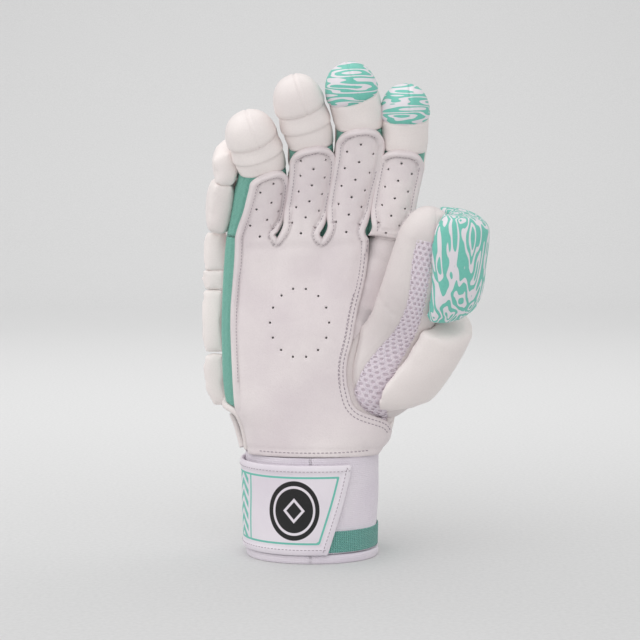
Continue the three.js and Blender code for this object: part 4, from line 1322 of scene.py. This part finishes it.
# Thumb web: leather from under the palm's seam to the thumb's front, fuller towards its top.
def makeThumbWeb():
    points = []
    for share in steps(24):
        rise = lerp(0.49, 0.625, share)
        along = (rise * palmHeight - thumbRoot["rise"]) / thumbHeight
        near = underSeam(rise)
        far = thumbPoint(thumbColumn("front", along), along) + Vector((lap, 2 * wall + lapGap, 0))
        for s in steps(18):
            p = near.lerp(far, s)
            p.y += 6 * math.sin(math.pi * s) * share
            points.append(p)
    piece, *_ = shell("thumb_web_leather", points, gridFaces(24, 18), 0, wall)
    wear(piece, finishes["palm"], "palm", "thumb_web")


makeThumb()
makeThumbMesh()
makeThumbWeb()
print("thumb made")

# Pads: a fingertip's pad starts as a dome, each other pad as its solid remeshed fine; all swell as foam under leather
# does, and the fingertip pads, not the thumb's, get their seams after.
padValues = {
    "voxel": 1.7, "thumbVoxel": 1.7 * 1.15, "frames": 16, "pressure": 5.0, "most": 1.5, "fill": 0.8, "crease": 0.75,
    "seamWidth": 0.6, "seamDepth": 0.45, "seamSwell": 0.21, "seamAside": 2.2,
}
padNodes = [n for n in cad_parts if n.endswith(("_pad", "_roll")) or n.startswith("side_pad")]
tipValues = {"side": 2.3, "top": 9.2, "round": 2.35, "square": 2.15, "foot": 1.7, "seat": 0.25, "start": 0.3}


# A fingertip's pad: a round dome over the finger's end, hollow where the finger sits in it.
def makeTip(node):
    name = node.split("_")[0]
    finger, v = fingers[name], tipValues
    start = finger["cap"] + v["start"] / finger["length"]
    origin, side, front, *_, wide, deep = fingerSection(name, start)
    axis = (fingerSection(name, 0.98)[0] - origin).normalized()
    long = (1 - start) * finger["length"]
    columns = steps(72, 0, 360)[:-1]

    def dome(turns, grow, height, foot):
        rings = []
        for turn in turns:
            close, rise = math.cos(turn) ** (2 / v["round"]), height * math.sin(turn) ** (2 / v["round"])
            close -= foot / wide * max(0, 1 - rise / (1.6 * foot + 0.01)) ** 2
            across, forward = (wide + grow) * close, (deep + grow) * close
            spots = [rounded(angle, across, forward, v["square"]) for angle in columns]
            rings.append([origin + side * across + front * forward + axis * rise for across, forward in spots])
        return rings

    turns = [math.pi / 2 * s for s in steps(30)[:-1]]
    rings = dome(turns[::2], v["seat"], long + v["seat"], 0)[::-1] + dome(turns, v["side"], long + v["top"], v["foot"])
    points = [p for ring in rings for p in ring]
    points += [origin + axis * (long + v["seat"]), origin + axis * (long + v["top"])]
    count, width = len(rings), len(columns)
    faces = gridFaces(count - 1, width, closed=True)
    for j in range(width):
        k = (j + 1) % width
        faces.append((count * width, k, j))
        faces.append((count * width + 1, (count - 1) * width + j, (count - 1) * width + k))
    return newObject(node.replace("_pad", "_cushion"), points, faces)


def padStart(node):
    if node.endswith("_tip_pad") and not node.startswith("thumb"):
        return makeTip(node)
    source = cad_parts[node]
    mesh = source.data.copy()
    mesh.name = node
    piece = bpy.data.objects.new(node.replace("_pad", "_cushion").replace("_roll", "_sausage"), mesh)
    bpy.context.scene.collection.objects.link(piece)
    pick(piece)
    bpy.ops.object.mode_set(mode="EDIT")
    bpy.ops.mesh.select_all(action="SELECT")
    bpy.ops.mesh.remove_doubles(threshold=0.00001)
    bpy.ops.mesh.tris_convert_to_quads(face_threshold=1.0, shape_threshold=1.0)
    bpy.ops.mesh.select_all(action="DESELECT")
    bpy.ops.mesh.edges_select_sharp(sharpness=math.radians(38))
    bpy.ops.transform.edge_crease(value=padValues["crease"])
    bpy.ops.object.mode_set(mode="OBJECT")
    applied(piece, "SUBSURF", levels=2, render_levels=2)
    voxel = padValues["thumbVoxel" if "thumb" in node else "voxel"]
    applied(piece, "REMESH", mode="VOXEL", voxel_size=voxel * 0.001, adaptivity=0)
    return piece


def puff(pieces):
    counts = [len(piece.data.vertices) for piece in pieces]
    larger, copies = 10, []
    for piece in pieces:
        copy = piece.copy()
        copy.data = piece.data.copy()
        bpy.context.scene.collection.objects.link(copy)
        copies.append(copy)
    pick(*copies)
    bpy.ops.object.join()
    whole = bpy.context.view_layer.objects.active
    rest = np.zeros(len(whole.data.vertices) * 3)
    whole.data.vertices.foreach_get("co", rest)
    rest = rest.reshape(-1, 3)
    # Worked at ten times the size, where the cloth settings behave as on a cushion.
    whole.data.vertices.foreach_set("co", (rest * larger).ravel())
    cloth = whole.modifiers.new("Cloth", "CLOTH")
    cloth.settings.use_pressure = True
    cloth.settings.uniform_pressure_force = padValues["pressure"]
    cloth.settings.effector_weights.gravity = 0
    cloth.settings.quality = 4
    cloth.collision_settings.use_collision = False
    cloth.collision_settings.use_self_collision = False
    cloth.point_cache.frame_start, cloth.point_cache.frame_end = 1, padValues["frames"]
    scene = bpy.context.scene
    for number in range(1, padValues["frames"] + 1):
        scene.frame_set(number)
    seen = whole.evaluated_get(bpy.context.evaluated_depsgraph_get()).data
    moved = np.zeros(len(seen.vertices) * 3)
    seen.vertices.foreach_get("co", moved)
    moved = moved.reshape(-1, 3) / larger
    whole.modifiers.clear()
    scene.frame_set(1)
    way = moved - rest
    far = np.linalg.norm(way, axis=1)
    print("puffed by", round(float(far.mean()) * 1000, 2), "mm on average")
    most = padValues["most"] * 0.001
    way *= (most * np.tanh(far / most) / np.maximum(far, 1e-9))[:, None]
    moved = rest + way
    bpy.data.objects.remove(whole)
    start = 0
    for piece, count in zip(pieces, counts):
        piece.data.vertices.foreach_set("co", moved[start:start + count].ravel())
        piece.data.update()
        start += count


def coordinates(piece):
    places = np.zeros(len(piece.data.vertices) * 3)
    piece.data.vertices.foreach_get("co", places)
    normals = np.zeros(len(piece.data.vertices) * 3)
    piece.data.vertex_normals.foreach_get("vector", normals)
    return places.reshape(-1, 3) * 1000 - np.array(shift), normals.reshape(-1, 3)


def moveTo(piece, places):
    piece.data.vertices.foreach_set("co", ((places + np.array(shift)) * 0.001).ravel())
    piece.data.update()


def carve(piece, depth):
    places, normals = coordinates(piece)
    moveTo(piece, places + normals * np.array([depth(p) for p in places])[:, None])


# A fingertip's seam runs from its foot over its top, a little to the thumb's side of the middle.
def tipSeam(name):
    base, tip = fingerSection(name, 0.86)[0], fingerSection(name, 0.99)[0]
    across = (tip - base).cross(Vector((0, -1, 0))).normalized()
    across = across if across.x > 0 else -across
    middle = base + across * padValues["seamAside"]
    return lambda p: float((Vector(p) - middle).dot(across))


# How far a pad's ends reach down and up, and how far its corners fill out sideways.
fillOut = {
    "little_base_roll": (4.2, 0.6, 1.8), "little_middle_roll": (0.6, 3.4, 0.8),
    "ring_middle_roll": (0.3, 3.2, 0.0), "middle_middle_roll": (0.3, 3.2, 0.0), "index_middle_roll": (0.3, 3.0, 0.0),
    "side_pad_4": (1.2, 5.6, 2.6), "side_pad_3": (0.9, 1.5, 2.6),
    "side_pad_2": (0.6, 0.6, 2.0), "side_pad_1": (0.2, 0.6, 0.0),
}


def spread(piece, down, up, corner):
    places, _ = coordinates(piece)
    low, high = places.min(axis=0), places.max(axis=0)
    share = (places[:, 2] - low[2]) / (high[2] - low[2])
    outside = (high[0] - places[:, 0]) / (high[0] - low[0])
    places[:, 2] += up * share ** 2 - down * (1 - share) ** 2
    places[:, 0] -= corner * (2 * share - 1) ** 4 * outside ** 2
    moveTo(piece, places)


# The thumb's pad laps over the thumb's side to the mesh. Its top corner is drawn in, and its low corner is full.
thumbLap = {"far": 4.2, "forward": 1.8, "drawn": 6.0, "filled": 6.0}


def lapOver(piece):
    far, forward, drawn, filled = thumbLap.values()
    places, _ = coordinates(piece)
    low, high = places.min(axis=0), places.max(axis=0)
    for place in places:
        share, left = ((place - low) / (high - low))[[2, 0]]
        near = (1 - left) ** 2
        over = ease(share, 0.3, 0.65) * (1 - ease(share, 0.75, 1)) * near
        corner = drawn * ease(share, 0.78, 1) * near
        full = (1 - ease(share, 0, 0.55)) * left ** 2 * filled
        place += (0.6 * corner - far * over + full, 0.4 * corner - forward * over, -corner - 0.3 * full)
    moveTo(piece, places)


# Depth of a seam at a distance from it: a narrow groove between two low swells.
def groove(distance):
    width, depth, swell = padValues["seamWidth"], padValues["seamDepth"], padValues["seamSwell"]
    near = math.exp(-((distance / width) ** 2))
    return -depth * near + swell * math.exp(-((abs(distance) - 2.6 * width) / (1.6 * width)) ** 2)


def makePads():
    pieces = {node: padStart(node) for node in padNodes}
    print("pads remeshed:", sum(len(p.data.vertices) for p in pieces.values()), "points")
    puff(list(pieces.values()))
    for node, piece in pieces.items():
        applied(piece, "SMOOTH", factor=0.5, iterations=4)
        applied(piece, "SUBSURF", levels=1, render_levels=1)
        if node in fillOut:
            spread(piece, *fillOut[node])
        name = node.split("_")[0]
        finish = finishes["pads"]
        if node.endswith("_tip_pad"):
            if node == "thumb_tip_pad":
                lapOver(piece)
                finish = finishes["thumbPrint"]
            else:
                across = tipSeam(name)
                carve(piece, lambda p: groove(across(p)))
                if name in ("middle", "index"):
                    finish = finishes["tips"]
        piece.data.shade_smooth()
        slot = "print" if finish in (finishes["tips"], finishes["thumbPrint"]) else "pad_leather"
        wear(piece, finish, slot, node)


makePads()
print("pads made")

# Cuff
cuffTable = {"at": (0, 0.5, 1), "wide": (0.48, 0.488, 0.5), "deep": (0.49, 0.49, 0.5)}
cuffValues = {
    "width": 78, "depth": 57, "wall": 3.6, "square": 2.15, "girth": math.pi * 66, "seam": 0.35,
    "hem": 5, "hemWall": 1.1, "bandLift": 1.2, "band": 12.5, "bandWall": 0.8,
}


def cuffPoint(angle, height, offset):
    share = height / cuffHeight
    wide = column(cuffTable, "wide", share) * cuffValues["width"] - cuffValues["wall"] + offset
    deep = column(cuffTable, "deep", share) * cuffValues["depth"] - cuffValues["wall"] + offset
    side, forward = rounded(angle, wide, deep, cuffValues["square"])
    return Vector((cuffShift + side, -forward, height))


def cuffRing(name, low, high, start, stop, rows, relief, finish, slot, node):
    heights, columns = steps(rows, low, high), 150
    angles = [360 * s for s in steps(columns)[:-1]]
    inner, outer = [], []
    for height in heights:
        for angle in angles:
            extra = relief(angle, height)
            inner.append(cuffPoint(angle, height, start))
            outer.append(cuffPoint(angle, height, stop + extra))
    faces = gridFaces(rows, columns, closed=True)
    count = len(inner)
    solid = faces + [tuple(v + count for v in face[::-1]) for face in faces]
    top = rows * columns
    for j in range(columns):
        k = (j + 1) % columns
        solid.append((count + j, count + k, k, j))
        solid.append((top + j, top + k, count + top + k, count + top + j))
    piece = newObject(name, outer + inner, solid)
    girth = cuffValues["girth"] * 0.001
    laid = [(angle / 360 * girth, height * 0.001) for height in heights for angle in angles]
    addMap(piece, laid * 2)
    reach = [min(height - low, high - height) for height in heights for angle in angles]
    addNumbers(piece, "reach", reach * 2)
    applied(piece, "BEVEL", width=0.0005, segments=2, limit_method="ANGLE", angle_limit=math.radians(50))
    piece.data.shade_smooth()
    return wear(piece, finish, slot, node)


def makeCuff():
    v = cuffValues

    def plump(angle, height):
        share = (height - v["hem"]) / (cuffHeight - v["hem"])
        return 0.5 * math.sin(math.pi * share) + 0.35 * math.sin(angle * 0.11 + height * 0.05) * math.sin(height * 0.12)

    def binding(angle, height):
        return 0.5 * math.sin(math.pi * height / v["hem"]) ** 0.6 if 0 < height < v["hem"] else 0

    knit, seat, foot = finishes["cuff"], v["wall"] + v["seam"], v["hem"] + v["bandLift"]
    wrist = cuffRing("wrist_cloth", v["hem"] + v["seam"], cuffHeight - v["seam"], 0, v["wall"], 40,
                     plump, knit, "knit", "wristband")
    hem = cuffRing("hem_binding", 0, v["hem"], -v["hemWall"] / 2, v["wall"] + v["hemWall"], 10,
                   binding, knit, "knit", "cuff_hem")
    elastic = cuffRing("elastic_band", foot, foot + v["band"], seat, seat + v["bandWall"], 14,
                       lambda angle, height: 0, finishes["band"], "band", "cuff_band")
    girth = lambda height, offset: [cuffPoint(360 * s, height, offset) for s in steps(90)]
    cutSheet(wrist, [girth(h, v["wall"] / 2) for h in (v["hem"], cuffHeight)])
    cutSheet(elastic, [girth(h, seat) for h in (foot, foot + v["band"])])


strapValues = {
    "height": 51, "lift": 6, "wall": 1.6, "seam": 2.6,
    "end": 22, "slant": 12.6, "root": -222, "printAt": -33.5,
}


def strapEndAngle(height):
    v = strapValues
    x = v["end"] - v["slant"] * (1 - (height - v["lift"]) / v["height"]) ** 1.3 - cuffShift
    return math.degrees(math.asin((x / (0.5 * cuffValues["width"])) ** 1.075))


def makeStrap():
    v = strapValues
    seat = cuffValues["wall"] + cuffValues["seam"] + cuffValues["bandWall"] + lapGap
    heights, columns = steps(46, v["lift"], v["lift"] + v["height"]), steps(190)
    points = [cuffPoint(lerp(v["root"], strapEndAngle(h), s), h, seat) for h in heights for s in columns]
    width = len(columns)
    lines = [points[i * width:(i + 1) * width] for i in range(len(heights))]
    walked = []
    for line in lines:
        row = [0]
        for a, b in zip(line, line[1:]):
            row.append(row[-1] + (b - a).length)
        crossing = next(j for j in range(width) if line[j].x > v["printAt"] and line[j].y < 0)
        before = (line[crossing].x - v["printAt"]) / (line[crossing].x - line[crossing - 1].x)
        start = lerp(row[crossing], row[crossing - 1], before)
        walked += [(d - start) * 0.001 for d in row]
    laid = [(walked[k], heights[k // width] * 0.001) for k in range(len(points))]

    def relief(i, reach):
        edge = 0.5 * math.exp(-(((reach - 2.2) / 1.4) ** 2)) - 0.3 * math.exp(-(((reach - 4.4) / 0.4) ** 2))
        return edge + 0.12 * math.sin(points[i].z * 0.2 + points[i].x * 0.1)

    faces = gridFaces(len(heights) - 1, width - 1)
    made = shell("strap_cloth", points, faces, 0, v["wall"], relief, laid=laid, bulge=0.7)
    piece, outer, normals, edges, outward, reach = made
    seams = insetLines(outer, edges, outward, v["seam"], lambda p: True)
    sewing = threads("strap_stitches", seams, surfaceTree(piece), strapStitches)
    wear(piece, finishes["strap"], "strap", "strap")
    cutSheet(piece, lines)
    wear(sewing, finishes["thread"], "strap")


# Piping round the slit above the cuff
def makeBindings():
    radius, gapShare = 2.1, (1.6 + 0.35) / palmHeight
    foot = ventFeet[0] - gapShare * 1.4
    beside = lambda rise: palmEdge("left", rise) - gapShare * palmHeight * 1.35
    marks = [handPoint(-100, ventFeet[1] - gapShare * 1.3, wall + 1)]
    marks.append(handPoint(-84, lerp(foot, ventFeet[1] - gapShare, 0.5), wall + 1))
    for s in (0.98, 0.75, 0.5, 0.25, 0.09):
        marks.append(handFront(beside(foot * s), foot * s) + Vector((0, -wall - 1.4, 0)))
    front = tubeAlong("slit_piping_front", smoothLine(marks, 70), radius, 14, 0.9)
    wear(front, finishes["cap"], "pad_leather", "vent_binding_front")
    marks = [handPoint(column(backEdges, "side", rise) + 3.6, rise, wall + 1) for rise in (0.165, 0.12, 0.07, 0.02)]
    back = tubeAlong("slit_piping_back", smoothLine(marks, 50), radius, 14, 0.9)
    wear(back, finishes["cap"], "pad_leather", "vent_binding_back")


# A smooth line through marks, ends included.
def smoothLine(marks, count):
    made = []
    last = len(marks) - 1
    for share in steps(count):
        at = share * last
        i = min(int(at), last - 1)
        t = at - i
        a, b, c, d = (marks[min(max(i + k, 0), last)] for k in (-1, 0, 1, 2))
        made.append(0.5 * (2 * b + (c - a) * t + (2 * a - 5 * b + 4 * c - d) * t * t + (3 * b - a - 3 * c + d) * t**3))
    return made


makeCuff()
makeStrap()
makeBindings()
print("cuff, strap and piping made")

# Stage: a plain floor that curves up behind, a soft key from the left, a fill and a pale sky.
stageValues = {
    "floor": (215, 215, 215), "floorDark": (209, 209, 209), "sky": (0.9, 0.9, 0.9), "skyStrength": 0.72,
    "lights": {  # place, aim, size and watts
        "key": ((-0.75, -0.75, 1.4), (0, 0, 0.14), 2.3, 16.5),
        "fill": ((1.1, -1.2, 0.6), (0, 0, 0.14), 1.2, 2.4),
        "backdrop": ((0, 0.6, 1.4), (0, 2.2, 0.3), 1.6, 12),
    },
}
cameraValues = {"target": (-0.0115, 0.0, 0.1395), "distance": 0.95, "height": 0.235, "lens": 93}


def makeStage():
    bpy.ops.object.select_all(action="DESELECT")
    bpy.ops.mesh.primitive_plane_add(size=6, location=(0, 1.2, 0))
    floor = bpy.context.object
    floor.name = "floor"
    bpy.ops.object.mode_set(mode="EDIT")
    bpy.ops.mesh.select_all(action="SELECT")
    bpy.ops.mesh.subdivide(number_cuts=24)
    bpy.ops.object.mode_set(mode="OBJECT")
    for v in floor.data.vertices:
        place = floor.matrix_world @ v.co
        v.co.z = 0.9 * max(0, place.y - 1.6) ** 1.6
    floor.data.shade_smooth()
    made = Finish("floor_paper", 0.9)
    grain = made.noise(400, 2)
    made.colour(made.mix(made.ramp(grain, 0.3, 0.7), linear(*stageValues["floor"]), linear(*stageValues["floorDark"])))
    floor.data.materials.append(made.material)
    world = bpy.data.worlds.new("studio")
    world.use_nodes = True
    sky = world.node_tree.nodes["Background"]
    sky.inputs[0].default_value, sky.inputs[1].default_value = (*stageValues["sky"], 1), stageValues["skyStrength"]
    bpy.context.scene.world = world
    for name, values in stageValues["lights"].items():
        addLight(name, *values)


def addLight(name, place, target, size, watts):
    light = bpy.data.lights.new(name, "AREA")
    light.energy, light.size = watts, size
    lamp = bpy.data.objects.new(name, light)
    bpy.context.scene.collection.objects.link(lamp)
    lamp.location = place
    lamp.rotation_euler = (Vector(target) - Vector(place)).to_track_quat("-Z", "Y").to_euler()


def makeCamera():
    v = cameraValues
    camera = bpy.data.objects.new("camera", bpy.data.cameras.new("camera"))
    bpy.context.scene.collection.objects.link(camera)
    target = Vector(v["target"])
    camera.location = (target.x, -v["distance"], v["height"])
    camera.rotation_euler = (target - camera.location).to_track_quat("-Z", "Y").to_euler()
    camera.data.lens, camera.data.sensor_width = v["lens"], 36
    camera.data.dof.use_dof = False
    bpy.context.scene.camera = camera


makeStage()
makeCamera()
bpy.context.scene.view_settings.view_transform = "Standard"
